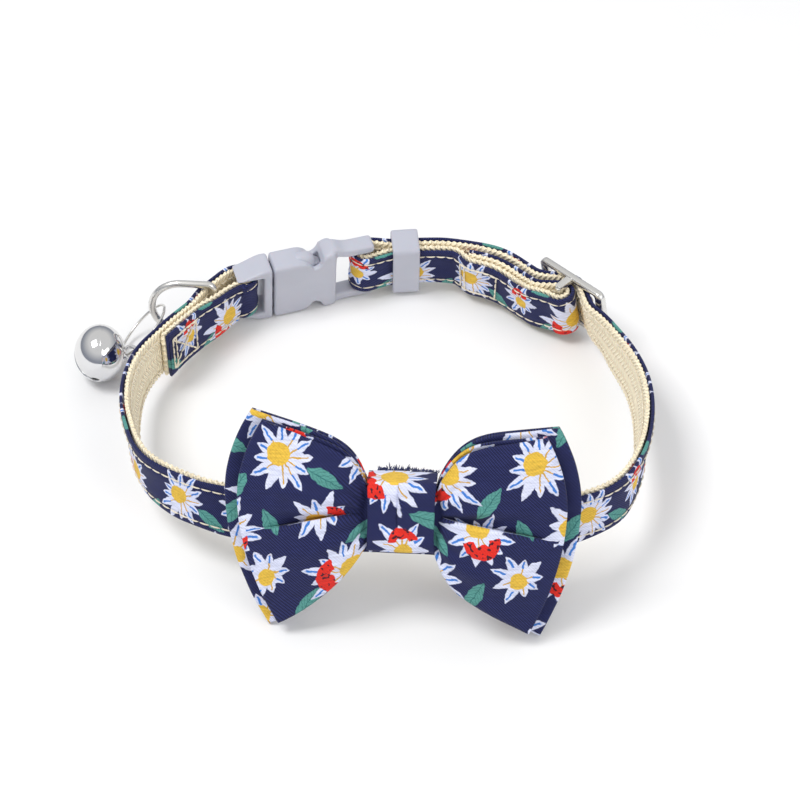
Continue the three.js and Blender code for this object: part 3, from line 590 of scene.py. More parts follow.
def daisy_group():
    """A daisy in polar terms: n petals, each as long as its own random share of the radius, whose half
    width at the share s of its length goes as s^0.5 times (1-s)^0.75. Blue strokes run down the
    middle of some petals, gold ones run out from the eye, and the eye is a disc set off the centre."""
    inputs = {"Radius": "Float", "Turn": "Float", "Petals": "Float", "Red": "Float", "Seed": "Float"}
    n, source, out = group("daisy", inputs)
    place = local_place(n, source, 0.75)
    radius, petals = source["Radius"], source["Petals"]
    axes = n.axes(place)
    r = n.vector("LENGTH", place)
    angle = n.math("ADD", n.math("ARCTAN2", axes[1], axes[0]), source["Turn"])
    turns = n.times(angle, petals, 1 / TAU)
    index = n.math("FLOORED_MODULO", n.math("FLOOR", turns), petals)
    aside = n.math("ABSOLUTE", n.math("SUBTRACT", n.math("FRACT", turns), 0.5))
    lot_number = n.line(source["Seed"], 17.3, n.times(index, 1.37))
    lot = n.add("ShaderNodeTexWhiteNoise", {"W": lot_number}, noise_dimensions="1D")
    lots = n.add("ShaderNodeSeparateColor", {0: lot.outputs["Color"]}).outputs
    length = n.times(radius, n.line(lots[0], 0.4, 0.62))
    s = n.math("DIVIDE", r, length)
    pitch = n.math("DIVIDE", TAU, petals)
    across = n.times(aside, pitch, r)
    taper = n.math("POWER", n.math("MAXIMUM", n.math("SUBTRACT", 1.0, s), 0.0), 0.75)
    half = n.times(radius, pitch, 0.64, n.math("POWER", s, 0.5), taper)
    white = n.times(n.below(across, half, 0.14), n.below(s, 1.0, 0.01))
    white = n.math("MAXIMUM", white, n.below(r, n.times(radius, 0.36), 0.1))
    shade = n.noise(source["Cloth"], 0.5)
    petal = n.mix(shade, PETAL, linear(206, 212, 238))
    colour = n.mix(white, source["Colour"], petal)
    middle = n.line(r, -0.01, 0.2)
    gold = n.times(
        n.below(across, middle, 0.1),
        n.below(r, n.times(radius, 0.6), 0.2),
        n.above(lots[1], 0.4),
    )
    colour = n.mix(gold, colour, GOLD)
    blue = n.times(
        n.below(across, 0.24, 0.1),
        n.below(s, 0.9, 0.05),
        n.above(s, 0.5),
        n.above(lots[2], 0.38),
    )
    colour = n.mix(blue, colour, BLUE)
    bearing = n.math("MULTIPLY", source["Seed"], 2.4)
    towards = n.add(
        "ShaderNodeCombineXYZ", {0: n.math("COSINE", bearing), 1: n.math("SINE", bearing)}
    ).outputs[0]

    def offset(share):
        links = {0: towards, "Scale": n.times(radius, share)}
        moved = n.add("ShaderNodeVectorMath", links, operation="SCALE").outputs[0]
        return n.vector("SUBTRACT", place, moved)

    eye = n.below(n.vector("LENGTH", offset(0.14)), n.times(radius, 0.28), 0.12)
    speck = n.above(n.noise(source["Cloth"], 2.2, 1.0), 0.56)
    colour = n.mix(eye, colour, n.mix(n.times(speck, 0.45), YELLOW, GOLD))
    red_place = offset(-0.18)
    ring = n.math("ABSOLUTE", n.math("SUBTRACT", n.vector("LENGTH", red_place), n.times(radius, 0.3)))
    side = n.math("LESS_THAN", n.vector("DOT_PRODUCT", red_place, towards), 0.0)
    crescent = n.times(n.below(ring, n.times(radius, 0.13), 0.1), side, source["Red"])
    dab = n.times(n.below(n.vector("LENGTH", offset(-0.42)), n.times(radius, 0.17), 0.1), source["Red"])
    ink = n.above(n.noise(source["Cloth"], 1.3, 1.0), 0.6)
    colour = n.mix(n.math("MAXIMUM", crescent, dab), colour, n.mix(ink, RED, linear(70, 26, 40)))
    n.feed(out, colour)
    return n.tree


def leaf_group():
    """A leaf along its own axis: its half width at the share t of its length is 0.2 of the length times
    sin(pi t)^0.8, with a middle vein and slanting side veins."""
    n, source, out = group("leaf", {"Length": "Float", "Turn": "Float"})
    place = local_place(n, source, 0.8)
    spun = n.add(
        "ShaderNodeVectorRotate", {"Vector": place, "Angle": source["Turn"]}, rotation_type="Z_AXIS"
    ).outputs[0]
    axes = n.axes(spun)
    t = n.math("ADD", n.math("DIVIDE", axes[0], source["Length"]), 0.5)
    inside = n.math("MINIMUM", n.above(t, 0.0), n.math("LESS_THAN", t, 1.0))
    arch = n.math("POWER", n.math("MAXIMUM", n.math("SINE", n.times(t, np.pi)), 0.0), 0.8)
    half = n.times(source["Length"], 0.19, arch)
    away = n.math("ABSOLUTE", axes[1])
    green = n.times(n.below(away, half, 0.12), inside)
    vein = n.below(away, 0.12, 0.08)
    slant = n.math("FRACT", n.math("SUBTRACT", n.times(axes[0], 1.1), n.times(away, 1.3)))
    side_vein = n.below(slant, 0.28, 0.1)
    dark = n.math("MAXIMUM", vein, n.times(side_vein, 0.6))
    n.feed(out, n.mix(green, source["Colour"], n.mix(dark, TEAL, DEEP_TEAL)))
    return n.tree


def material(name):
    """A new node material, the short words for its tree, and its shader."""
    made = bpy.data.materials.new(name)
    made.use_nodes = True
    return made, Nodes(made.node_tree), made.node_tree.nodes["Principled BSDF"]


def finish(n, shader, colour, height, strength, depth, roughness, **constants):
    """Links a material's colour, roughness and relief, whose depth is in millimetres. Constants go
    straight on the shader's own sockets."""
    bump = n.add("ShaderNodeBump", {"Strength": strength, "Distance": depth * MM, "Height": height})
    for label, value in {"Base Color": colour, "Roughness": roughness, "Normal": bump.outputs[0]}.items():
        n.feed(shader.inputs[label], value)
    for label, value in constants.items():
        shader.inputs[label.replace("_", " ")].default_value = value


def motif(n, tree, cloth, colour, x, y, **sizes):
    """Lays one motif of the print over the colour."""
    links = {"Colour": colour, "Cloth": cloth, "Centre": (x, y, 0.0), **sizes}
    return n.add("ShaderNodeGroup", links, node_tree=tree).outputs[0]


def printed_cotton():
    """Navy cotton twill with the daisy print."""
    made, n, shader = material("printed_cotton")
    cloth = n.cloth()
    x, y, _ = n.axes(cloth)
    twill = n.math("SINE", n.times(n.math("ADD", x, y), TAU / 0.6))
    cross = n.math("SINE", n.times(n.math("SUBTRACT", x, y), TAU / 0.42))
    weave = n.line(cross, 0.4, n.times(twill, 0.6))
    colour = n.mix(n.line(weave, 0.5, 0.5, clamped=True), NAVY, NAVY_LIGHT)
    daisy, leaf = daisy_group(), leaf_group()
    for *centre, length, spin in LEAVES:
        colour = motif(n, leaf, cloth, colour, *centre, Length=length, Turn=spin)
    for *centre, radius, spin, petals, red, seed in DAISIES:
        sizes = {"Radius": radius, "Turn": spin, "Petals": petals, "Red": red, "Seed": seed}
        colour = motif(n, daisy, cloth, colour, *centre, **sizes)
    slub = n.noise(n.vector("MULTIPLY", cloth, (0.4, 2.4, 1.0)), 1.0, 3.0)
    colour = n.lit(colour, n.line(weave, 0.1, n.line(slub, 0.7, 0.65)))
    sheen = {"Sheen_Weight": 0.06, "Sheen_Roughness": 0.5, "Specular_IOR_Level": 0.22}
    finish(n, shader, colour, n.line(slub, 0.6, weave), 0.35, 0.06, n.line(weave, 0.06, 0.74), **sheen)
    return made


def webbing_cotton():
    """Cream cotton webbing: columns of slanting threads that lean the other way in every second column,
    with painted shade in its grooves.
    """
    made, n, shader = material("webbing_cotton")
    cloth = n.cloth()
    x, y, _ = n.axes(cloth)
    column = n.times(y, 1 / 1.9)
    way = n.math("SUBTRACT", n.times(n.math("PINGPONG", column, 1.0), 2.0), 1.0)
    slant = n.math("SINE", n.times(n.math("ADD", x, n.times(way, 0.75)), TAU / 1.1))
    groove = n.math("ABSOLUTE", n.math("SINE", n.times(column, np.pi)))
    fuzz = n.noise(cloth, 2.6, 4.0)
    height = n.line(slant, 0.5, n.line(groove, 0.6, n.times(fuzz, 0.8)))
    # Painted shade: the colour follows the relief. It is darker and warmer in the grooves between columns
    # and on the low side of each slanting thread, and lighter on the raised threads. A slow random tone
    # rides on it.
    light = n.line(height, 0.16, n.line(n.noise(cloth, 0.14, 3.0), 0.1, 0.9))
    colour = n.lit(CREAM, light, n.math("POWER", light, 1.1), n.math("POWER", light, 1.35))
    sheen = {"Sheen_Weight": 0.3, "Sheen_Roughness": 0.6, "Specular_IOR_Level": 0.2}
    finish(n, shader, colour, height, 1.0, 0.35, n.line(fuzz, 0.15, 0.78), **sheen)
    return made


def sewing_thread(name, colour):
    """Twisted thread: fine ridges and small changes of shade."""
    made, n, shader = material(name)
    fuzz, tone = n.noise(n.place(), 1800.0), n.noise(n.place(), 160.0)
    colour = n.lit(colour, n.line(tone, 0.25, n.line(fuzz, 0.2, 0.76)))
    sheen = {"Sheen_Weight": 0.2, "Specular_IOR_Level": 0.3}
    finish(n, shader, colour, fuzz, 0.5, 0.05, n.line(tone, 0.1, 0.62), **sheen)
    return made


def moulded_plastic():
    """Cool grey moulded plastic with a fine satin grain and faint flow marks."""
    made, n, shader = material("grey_plastic")
    grain = n.noise(n.place(), 3200.0)
    flow = n.noise(n.vector("MULTIPLY", n.place(), (1.0, 1.0, 3.0)), 110.0, 3.0)
    colour = n.mix(flow, linear(180, 182, 194), linear(188, 190, 202))
    depth = {"Specular_IOR_Level": 0.45, "Subsurface_Weight": 0.08, "Subsurface_Scale": 0.002}
    finish(n, shader, colour, grain, 0.12, 0.03, n.line(flow, 0.1, 0.34), **depth)
    return made


def plated_metal(name, colour, rough):
    """Plated steel with faint rubbing marks in its gloss."""
    made, n, shader = material(name)
    rub = n.noise(n.vector("MULTIPLY", n.place(), (1.0, 1.0, 6.0)), 120.0)
    colour = n.mix(n.noise(n.place(), 60.0, 1.0), colour, linear(224, 222, 218))
    finish(n, shader, colour, rub, 0.02, 0.01, n.line(rub, 0.08, rough), Metallic=1.0)
    return made


PRINT = printed_cotton()
WEB = webbing_cotton()
STITCH = sewing_thread("cream_thread", THREAD)
NAVY_THREAD = sewing_thread("navy_thread", linear(52, 58, 104))
PLASTIC = moulded_plastic()
NICKEL = plated_metal("nickel", linear(226, 225, 222), 0.22)
CHROME = plated_metal("bell_chrome", linear(222, 224, 230), 0.05)


# --- Strap -----------------------------------

AT, ROUTE, ACROSS = strap_route(FINE_STEP)
ALONG = unit(np.gradient(ROUTE, axis=0))
FACE = unit(np.cross(ALONG, ACROSS))
WIDE = np.cross(FACE, ALONG)
STRAP_LENGTH = float(AT[-1])
CORD_PITCH = 1.25
RIBBON_PRINT = (12.0, 34.5)  # the print's coordinates at the strap's sewn end
RIBBON_PRINT_SCALE = 1.18
STITCH_IN = 1.35  # from the ribbon's edge to a row of stitches
STITCH_PITCH = 2.2
BOX_LENGTH = 8.0
BOX_REACH = 3.4
BOX = [(0, -1, 1, -1), (1, -1, 1, 1), (1, 1, 0, 1), (0, 1, 0, -1), (0.14, -1, 0.14, 1)]
CROSS = [(0, -1, 1, 1), (0, 1, 1, -1)]


def carried(side, rise):
    """Profile points carried along the strap: side goes towards the print, rise goes across."""
    return ROUTE[:, None] + side[..., None] * FACE[:, None] + rise[..., None] * WIDE[:, None] + SHIFT


def webbing_piece():
    """The webbing: a flat oval section whose edges swell with each turn of the edge cord, as a sine of
    the length, half a turn apart on its two faces, as a plaited edge does."""
    side, rise = round_profile(STRAP_WIDTH, WEBBING)
    side = side - SEAM / 2 - WEBBING / 2
    edge = np.abs(rise) / (STRAP_WIDTH / 2)
    depth = (side + SEAM / 2 + WEBBING / 2) / (WEBBING / 2)
    phase = np.pi / 2 * np.tanh(4 * depth) + np.where(rise > 0, 0.0, 1.7)
    cord = np.sin(TAU * AT[:, None] / CORD_PITCH + phase) * edge**8
    wide = rise + np.sign(rise) * (0.2 * cord - 0.12 * np.exp(-((depth / 0.3) ** 2)) * edge**8)
    thick = side + depth * WEBBING / 2 * (0.22 * cord + 0.22 * edge**8)
    cloth = np.stack(np.broadcast_arrays(AT[:, None], rise[None]), axis=-1)
    piece = grid_piece("strap_webbing", carried(thick, wide), WEB, closed=False, cloth=cloth)
    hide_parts("webbing")


def ribbon_piece():
    """The printed ribbon: a flat oval section, thicker over the folded hems, with a groove under each
    row of stitches and a small pucker between two stitches."""
    width, thin = STRAP_WIDTH - 0.3, RIBBON - 0.25
    side, rise = round_profile(width, thin, 14)
    outer = side > 0
    hem = step_between(np.abs(rise), width / 2 - 3.4, width / 2 - 2.9)
    groove = np.exp(-(((np.abs(rise) - (width / 2 - STITCH_IN)) / 0.3) ** 2))
    pull = 0.6 + 0.4 * np.cos(TAU * AT[:, None] / STITCH_PITCH)
    lift = np.where(outer, 0.14 * hem - 0.2 * groove * pull, 0.0)
    wander = 0.06 * np.sin(AT[:, None] / 3.1) + 0.05 * np.sin(AT[:, None] / 1.7 + 1)
    side = side + thin / 2 + SEAM / 2 + lift
    wide = rise + np.sign(rise) * wander * (np.abs(rise) > width / 2 - 1)
    flat = np.stack(np.broadcast_arrays(AT[:, None], rise[None]), axis=-1)
    cloth = flat * RIBBON_PRINT_SCALE + RIBBON_PRINT
    piece = grid_piece("strap_ribbon", carried(side, wide), PRINT, closed=False, cloth=cloth)
    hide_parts("printed_ribbon")


def on_strap(s, face, rise):
    """Points at lengths s of the strap, off its middle by face towards the print and by rise across."""
    middle, out, across = (looked_up(s, AT, values) for values in (ROUTE, FACE, WIDE))
    return middle + out * face + across * np.reshape(rise, (-1, 1)) + SHIFT


def stitch_rows():
    """Two rows of running stitches on the print and two on the webbing's free face."""
    s = np.arange(1.2, STRAP_LENGTH - 2.4, STITCH_PITCH)
    spots = (s + 0.05, s + STITCH_PITCH - 0.07)
    rise = STRAP_WIDTH / 2 - 0.15 - STITCH_IN
    for face, name in ((OUTER_HALF - 0.12, "print"), (-INNER_HALF - 0.02, "webbing")):
        both = [[on_strap(at, face, edge * rise) for edge in (-1, 1)] for at in spots]
        starts, ends = map(np.concatenate, both)
        bulge = looked_up((spots[0] + spots[1]) / 2, AT, FACE) * np.sign(face) * 0.14
        piece = threads(f"stitches_{name}", starts, ends, np.tile(bulge, (2, 1)), 0.15, STITCH)


def sewn_box(name, start, lines):
    """A box of stitches through two plies, on the print: lines from side to side in shares of the box's
    length and half width."""
    starts, ends = [], []
    for s_a, r_a, s_b, r_b in lines:
        count = max(1, round(np.hypot((s_b - s_a) * BOX_LENGTH, (r_b - r_a) * BOX_REACH) / 1.7))
        q = np.linspace(0, 1, count + 1)
        s = start + BOX_LENGTH * (s_a + (s_b - s_a) * q)
        spots = on_strap(s, OUTER_HALF - 0.08, BOX_REACH * (r_a + (r_b - r_a) * q))
        starts.append(spots[:-1])
        ends.append(spots[1:])
    starts, ends = np.concatenate(starts), np.concatenate(ends)
    middle = int(np.interp(start + BOX_LENGTH / 2, AT, np.arange(len(AT))))
    bulge = np.repeat(FACE[middle][None] * 0.16, len(starts), axis=0)
    piece = threads(name, starts, ends, bulge, 0.19, STITCH)


# --- Bow -------------------------------------

KNOT_POINT, KNOT_X, KNOT_OUTWARDS, KNOT_UP = (value[0] for value in LOOP.frames(KNOT_AT))
KNOT_CENTRE = KNOT_POINT + KNOT_OUTWARDS * KNOT_OUT + KNOT_UP * KNOT_RISE + SHIFT


def from_knot(x, out, up):
    """Points across, out of and up along the bow, from the knot's centre."""
    return KNOT_CENTRE + x[..., None] * KNOT_X + out[..., None] * KNOT_OUTWARDS + up[..., None] * KNOT_UP


def walled(middle, thickness):
    """Rings round a wall: the mid surface moved by half the thickness each way along its normals, which
    are the cross product of its two gradients. Axis 0 goes round and axis 1 across."""
    wrapped = np.concatenate([middle[-1:], middle, middle[:1]])
    around = (wrapped[2:] - wrapped[:-2]) / 2
    across = np.gradient(middle, axis=1)
    normal = unit(np.cross(around, across))
    half = normal * thickness / 2
    return np.concatenate([middle + half, (middle - half)[:, ::-1]], axis=1)


WING_STEPS = 150
ACROSS_STEPS = 81
KNOT_STEPS = 220
KNOT_COLUMNS = 20  # on each side of the knot's middle
HELD_SHARE = 4 / 22  # of a wing's steps that the knot holds
BOW_PLY = 0.6
LEFT_TIP = 1.08  # how much higher the left wing stands at its upper tip
FOLD_OVER = 1.3  # how far the lower lobe's edge laps up over the pleat
BACK_PRINT = (12.0, 30.0)  # the print's coordinates at a bow's middle
FRONT_PRINT = (27.0, 24.0)
KNOT_PRINT = (20.0, 22.7)  # the print's coordinates at the seam behind the knot
TOP_ENDS = 190
CORNER_ENDS = 16


def opening(t, share, power):
    """How far a wing has opened at the share t of its reach: a quick start and then a straight edge."""
    return share * (1 - (1 - t) ** power) + (1 - share) * t


def bow_panels(name, size, depth_at, puff, print_at):
    """One bow: a closed band of a front and a back panel, flattened to two plies inside the knot.
    Across a wing the height opens as a (1-(1-t)^p) + (1-a) t. The front panel swells by sin(pi t^0.75)
    times a profile across: the upper lobe falls into a pleat, u = 0, and the lower lobe stands up in
    front of it with its edge lapped over. Gathers run out from the knot and die away as e^(-1.9t)."""
    half, height = size[0] / 2, size[1]
    held = (KNOT_WIDTH / 2 + 1.0) / half
    w_front = np.linspace(-1, 1, WING_STEPS, endpoint=False) + 1 / WING_STEPS
    w = np.concatenate([w_front, -w_front])[:, None]
    left = w < 0
    front = np.arange(2 * WING_STEPS)[:, None] < WING_STEPS
    t = np.sin(np.pi / 2 * clamp((np.abs(w) - HELD_SHARE) / (1 - HELD_SHARE)))
    line = -0.03 - 0.17 * t**0.8
    u = np.linspace(-1, 1, ACROSS_STEPS)[None]
    above_q, below_q = clamp(u) ** 1.25, clamp(-u) ** 1.25
    v = line + above_q * (1 - line) - below_q * (1 + line)
    reach = np.sign(w) * (held * clamp(np.abs(w) / HELD_SHARE) + (1 - held) * t)
    above_open = np.where(left, opening(t, 0.5, 9.0), opening(t, 0.75, 6.0))
    below_open = np.where(left, opening(t, 0.4, 2.5), opening(t, 0.4, 9.0))
    high = height * BOW_ABOVE * np.where(left, LEFT_TIP, 1.0) - PINCH_HEIGHT / 2
    low = height * (1 - BOW_ABOVE) - PINCH_HEIGHT / 2
    rise = v * (PINCH_HEIGHT / 2 + np.where(v > 0, high * above_open, low * below_open))
    end = half * np.where(left, 1 - 0.2 * v**2 + 0.05 * v, 1 - 0.17 * v**2 + 0.03 * v)
    above = 1.35 * np.sin(np.pi / 2 * clamp(above_q / 0.42)) ** 0.9 - 0.7 * above_q**2 - 0.25
    below = 0.95 + 0.35 * np.sin(np.pi * below_q**0.6) - 0.55 * below_q**3
    profile = below + (above - below) * step_between(u, -0.02, 0.035)
    fading = np.where(left, (1 - t**1.6) ** 0.8, 1 - 0.5 * t)
    lobe = 0.85 * np.sin(np.pi * (v + 1) / 2) ** 0.6
    spread = np.sin(np.pi * t**0.75)
    waves = np.cos(v * 22 + 2.0 * np.sign(w) + 1.1 * np.sin(4 * v)) * np.exp(-1.9 * t)
    gathers = 0.5 * waves * step_between(t, 0.0, 0.05)
    drawn_in = 0.65 if puff else 1.6
    soft = np.sin(3.1 * v + 5 * t + 1.3 * np.sign(w)) * t * (1 - t) * 4
    cockle = np.sin(7 * v - 9 * t + 2.1 * np.sign(w)) * t * (1 - t) * 4
    swell = puff * spread * (lobe + (profile - lobe) * fading)
    swell = swell + drawn_in * gathers + 0.28 * soft + 0.1 * cockle
    fold = np.cos(np.pi / 2 * w) ** 0.35
    apart = (CLOTH + BOW_GAP) / 2
    back_swell = 1.5 * gathers + 0.2 * soft
    depth = depth_at + np.where(front, apart * fold + swell, back_swell - apart * fold)
    lap = step_between(-u, -0.02, 0.02) * (1 - step_between(-u, 0.02, 0.5))
    rise = rise + front * (puff > 0) * FOLD_OVER * spread * fading * lap
    middle = from_knot(reach * end, depth, rise)
    rings = walled(middle, BOW_PLY)
    x_cloth = np.broadcast_to(reach * end + np.where(front, 0.0, 2 * half), middle.shape[:2])
    hidden = 4.5 * (u < 0) * fading * (puff > 0)  # print that the pleat hides
    y_cloth = np.broadcast_to(rise - hidden, middle.shape[:2])
    flat = np.stack([x_cloth, y_cloth], axis=-1) + print_at
    cloth = np.concatenate([flat, flat[:, ::-1]], axis=1)
    return grid_piece(name, rings, PRINT, cloth=cloth)


def knot_piece():
    """The knot: a band round both bows on a superellipse of power 5, a little fuller at the middle of
    its width, with an upright fold, lapped over at one side, and shallow creases from edge to edge."""
    a = np.pi + TAU * np.arange(KNOT_STEPS)[:, None] / KNOT_STEPS
    v = np.linspace(-1, 1, 2 * KNOT_COLUMNS + 1)[None]
    c, s = np.cos(a), np.sin(a)
    full = 1 + 0.03 * (1 - v**2)
    deep = np.sign(c) * np.abs(c) ** 0.4 * (KNOT_HALF_DEPTH - KNOT_WALL / 2)
    tall = np.sign(s) * np.abs(s) ** 0.4 * (KNOT_HEIGHT - KNOT_WALL) / 2 * full
    on_front = step_between(c, 0.0, 0.4)
    upper = step_between(tall, -2.0, 2.0)
    fold = 0.7 * np.exp(-(((v + 0.1 - 0.01 * tall) / 0.07) ** 2)) * upper
    lap = 0.7 * step_between(v, -0.1, -0.02) * (1 - 0.7 * clamp(v)) * upper
    creases = 0.1 * np.sin(tall * 1.15 + 2.2 * v) + 0.07 * np.sin(tall * 2.3 - 3 * v + 1)
    out = deep + on_front * (lap - fold + creases + 0.25 * (1 - v**2))
    wide = v * KNOT_WIDTH / 2 * (1 - 0.02 * np.cos(2 * a))
    middle = from_knot(wide, out, tall + 0 * v)
    rings = walled(middle, KNOT_WALL - 0.15)
    girth = lengths_along(middle[:, KNOT_COLUMNS])[:, None]
    flat = np.stack(np.broadcast_arrays(wide, girth), axis=-1) + KNOT_PRINT
    cloth = np.concatenate([flat, flat[:, ::-1]], axis=1)
    piece = grid_piece("knot_cloth", rings, PRINT, cloth=cloth)
    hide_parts("knot_band")


def frayed_edge():
    """Loose warp ends along the knot's raw upper edge at the back, and a few at its lower corner."""
    x = RNG.uniform(-4.8, 6.0, TOP_ENDS)
    out = RNG.uniform(-3.9, -3.2, TOP_ENDS)
    up = np.full(TOP_ENDS, KNOT_HEIGHT / 2 - 0.7)
    tuft = 0.35 + 0.65 * np.sin(2.1 * x + 0.6) ** 2
    length = 0.5 + 1.2 * RNG.uniform(0, 1, TOP_ENDS) ** 2 * tuft * step_between(-x, -5.0, 0.0)
    starts = from_knot(x, out, up)
    x, out = x + RNG.normal(0.2, 0.5, TOP_ENDS), out + RNG.normal(0, 0.25, TOP_ENDS)
    ends = from_knot(x, out, up + length)
    bulge = RNG.normal(0, 0.07, (TOP_ENDS, 3))
    top = threads("frayed_top", starts, ends, bulge, 0.11, NAVY_THREAD, 4, 5)

    def spread(low, high):
        return RNG.uniform(low, high, CORNER_ENDS)

    x = spread(5.2, 7.4)
    starts = from_knot(x, spread(0.5, 2.6), spread(-6.8, -5.4))
    ends = from_knot(x + spread(0.4, 2.0), spread(1.6, 3.2), spread(-7.6, -5.0))
    bulge = RNG.normal(0, 0.4, (CORNER_ENDS, 3))
    low = threads("frayed_corner", starts, ends, bulge, 0.07, NAVY_THREAD, 4, 7)


# --- Metal and plastic -----------------------

HANG = np.radians(-15)  # where the jump ring hangs on the D-ring's half circle
TO_BELL = unit(np.array([-0.33, -0.935, -0.12]))
RING_TIP = np.array([0.62, -0.3, 0.72])  # the jump ring's plane holds this and the way to the bell


def ring_frame():
    """The D-ring's own frame: its bar's place, the direction out of the strap, and up."""
    point, ahead, out, up = (value[0] for value in LOOP.frames(D_PLACE))
    swing = np.radians(D_SWING)
    return point + SHIFT, out * np.cos(swing) + ahead * np.sin(swing), up


def d_ring_piece():
    """A D of round wire: a straight bar, two arms with rounded corners and half a circle."""
    origin, out, up = ring_frame()
    half, corner = D_HALF, D_CORNER
    bend = np.linspace(0, np.pi / 2, 9)
    lower = np.stack([corner - corner * np.cos(bend), -half + corner - corner * np.sin(bend)], axis=1)
    arc = np.linspace(-np.pi / 2, np.pi / 2, 49)
    bow = np.stack([D_ARM + half * np.cos(arc), half * np.sin(arc)], axis=1)
    upper = lower[::-1] * [1, -1]
    bar = np.stack([np.zeros(12), np.linspace(half - corner, -half + corner, 14)[1:-1]], axis=1)
    line = np.concatenate([lower, bow, upper, bar])
    points = origin + line[:, :1] * out + line[:, 1:] * up
    piece = grid_piece("d_ring_wire", tube(points, D_WIRE, 20), NICKEL)
    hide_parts("d_ring")


def jump_ring_piece():
    """A thin circle of wire from the D-ring to the bell's bail. Returns the bail's place and the ring's
    own second direction."""
    origin, out, up = ring_frame()
    hook = origin + out * (D_ARM + D_HALF * np.cos(HANG)) + up * D_HALF * np.sin(HANG)
    centre = hook + TO_BELL * (RING_RADIUS - RING_WIRE - 0.15 - D_WIRE)
    normal = unit(np.cross(TO_BELL, RING_TIP))
    aside = unit(np.cross(normal, TO_BELL))
    points = circle(centre, RING_RADIUS, TO_BELL, aside, 120)
    piece = grid_piece("jump_ring_wire", tube(points, RING_WIRE, 12), NICKEL)
    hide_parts("jump_ring")
    return centre + TO_BELL * RING_RADIUS, aside


def bell_piece(bail, aside):
    """The bell: an ellipse turned about its axis, with a rolled seam at the equator, a wall, and a slot
    with round end holes across the bottom. The bail's ring stands on its top."""
    reach = BELL_HALF + BAIL_RADIUS * 0.75
    rise = BELL_RADIUS - (bail[2] - SHIFT[2])
    level = np.sqrt(reach**2 - rise**2)
    away = unit(np.array([-level, -level * BELL_ASIDE, rise])) * reach
    axis = -unit(away)
    hole = unit(aside - axis * (aside @ axis))
    across = np.cross(hole, axis)
    centre = bail + away
    polar = np.linspace(0, np.pi, 97)[:, None, None]
    angle = TAU * np.arange(192)[None, :, None] / 192
    seam = 0.06 * np.exp(-(((polar - np.pi / 2) / 0.035) ** 2))
    radius = (BELL_RADIUS - 0.12) * np.sin(polar) + seam
    round_axis = radius * (np.cos(angle) * across + np.sin(angle) * hole)
    on_axis = BELL_HALF * np.cos(polar) * axis
    thinner = (1 - BELL_WALL / BELL_RADIUS, 1 - BELL_WALL / BELL_HALF)
    shells = [centre + round_axis * r + on_axis * h for r, h in ((1, 1), thinner)]
    rows, columns = round_axis.shape[:2]
    quads = ring_faces(rows, columns, True)[: (rows - 1) * columns]
    faces = np.concatenate([quads, quads[:, ::-1] + rows * columns])
    bell = new_object("bell_shell", np.concatenate(shells).reshape(-1, 3), faces, CHROME)
    weld(bell)
    cut_slot(bell, centre, across, hole, axis)
    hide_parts("bell")
    points = circle(centre + axis * reach, BAIL_RADIUS, across, axis, 64)
    ring = grid_piece("bell_bail", tube(points, BAIL_WIRE, 14), CHROME)


def apply_modifiers(piece):
    """The piece's mesh becomes its evaluated mesh, and no modifier is left."""
    view = bpy.context.evaluated_depsgraph_get()
    mesh = bpy.data.meshes.new_from_object(piece.evaluated_get(view), depsgraph=view)
    piece.modifiers.clear()
    piece.data = mesh


def modifier(piece, kind, **settings):
    """A modifier with its settings."""
    added = piece.modifiers.new(kind.lower(), kind)
    for key, value in settings.items():
        setattr(added, key, value)


def weld(piece):
    """Vertices that lie together become one, as at a shell's poles."""
    modifier(piece, "WELD", merge_threshold=1e-3 * MM)
    apply_modifiers(piece)


def cut_slot(bell, centre, across, hole, axis):
    """Cuts the bell's slot: a slab through the bottom, and a round hole at each end of it."""
    top = -BELL_HALF * 0.22
    phi = TAU * np.arange(40) / 40
    slab = np.array([0, -BELL_HALF, -BELL_HALF, 0]), np.array([1, 1, -1, -1]) * BELL_SLOT / 2
    ends = np.array([-1, 1])[:, None, None] * (BELL_RADIUS + 1) * across
    for high, wide in (slab, (BELL_SLOT * np.sin(phi), BELL_SLOT * np.cos(phi))):
        rings = centre + ends + wide[:, None] * hole + (top + high)[:, None] * axis
        knife = grid_piece("bell_knife", rings, CHROME, closed=False)
        modifier(bell, "BOOLEAN", operation="DIFFERENCE", object=knife, solver="EXACT")
        apply_modifiers(bell)
        bpy.data.objects.remove(knife)


def node_mesh(node, name, shader):
    """A copy of a hard node's own mesh, with its loose triangles welded."""
    piece = bpy.data.objects.new(name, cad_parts[node].data.copy())
    bpy.context.scene.collection.objects.link(piece)
    piece.data.materials.clear()
    piece.data.materials.append(shader)
    weld(piece)
    return piece


def moved(mesh, change):
    """Changes all of a mesh's places, in millimetres, by a function."""
    places = np.empty(3 * len(mesh.vertices))
    mesh.vertices.foreach_get("co", places)
    mesh.vertices.foreach_set("co", (change(places.reshape(-1, 3) / MM) * MM).ravel())
    mesh.update()


def finish_node(piece, node):
    """Shades a hard piece smooth, mounts it and puts it in its node's place."""
    piece.data.polygons.foreach_set("use_smooth", np.ones(len(piece.data.polygons), bool))
    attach(piece, "root")
    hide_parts(node)


def moulded_node(node, name, at, cell, shape=lambda places: places):
    """A plastic node's mesh, remeshed in its own frame as one even skin and relaxed, so that its edges
    turn softly, and then shaped by a function of its own coordinates."""
    origin, ahead, out, up = (value[0] for value in LOOP.frames(at))
    basis = np.stack([ahead, -out, up])
    piece = node_mesh(node, name, PLASTIC)
    moved(piece.data, lambda places: (places - SHIFT - origin) @ basis.T)
    modifier(piece, "REMESH", mode="VOXEL", voxel_size=cell * MM)
    modifier(piece, "SMOOTH", factor=0.5, iterations=7)
    apply_modifiers(piece)
    moved(piece.data, lambda places: shape(places) @ basis + origin + SHIFT)
    finish_node(piece, node)


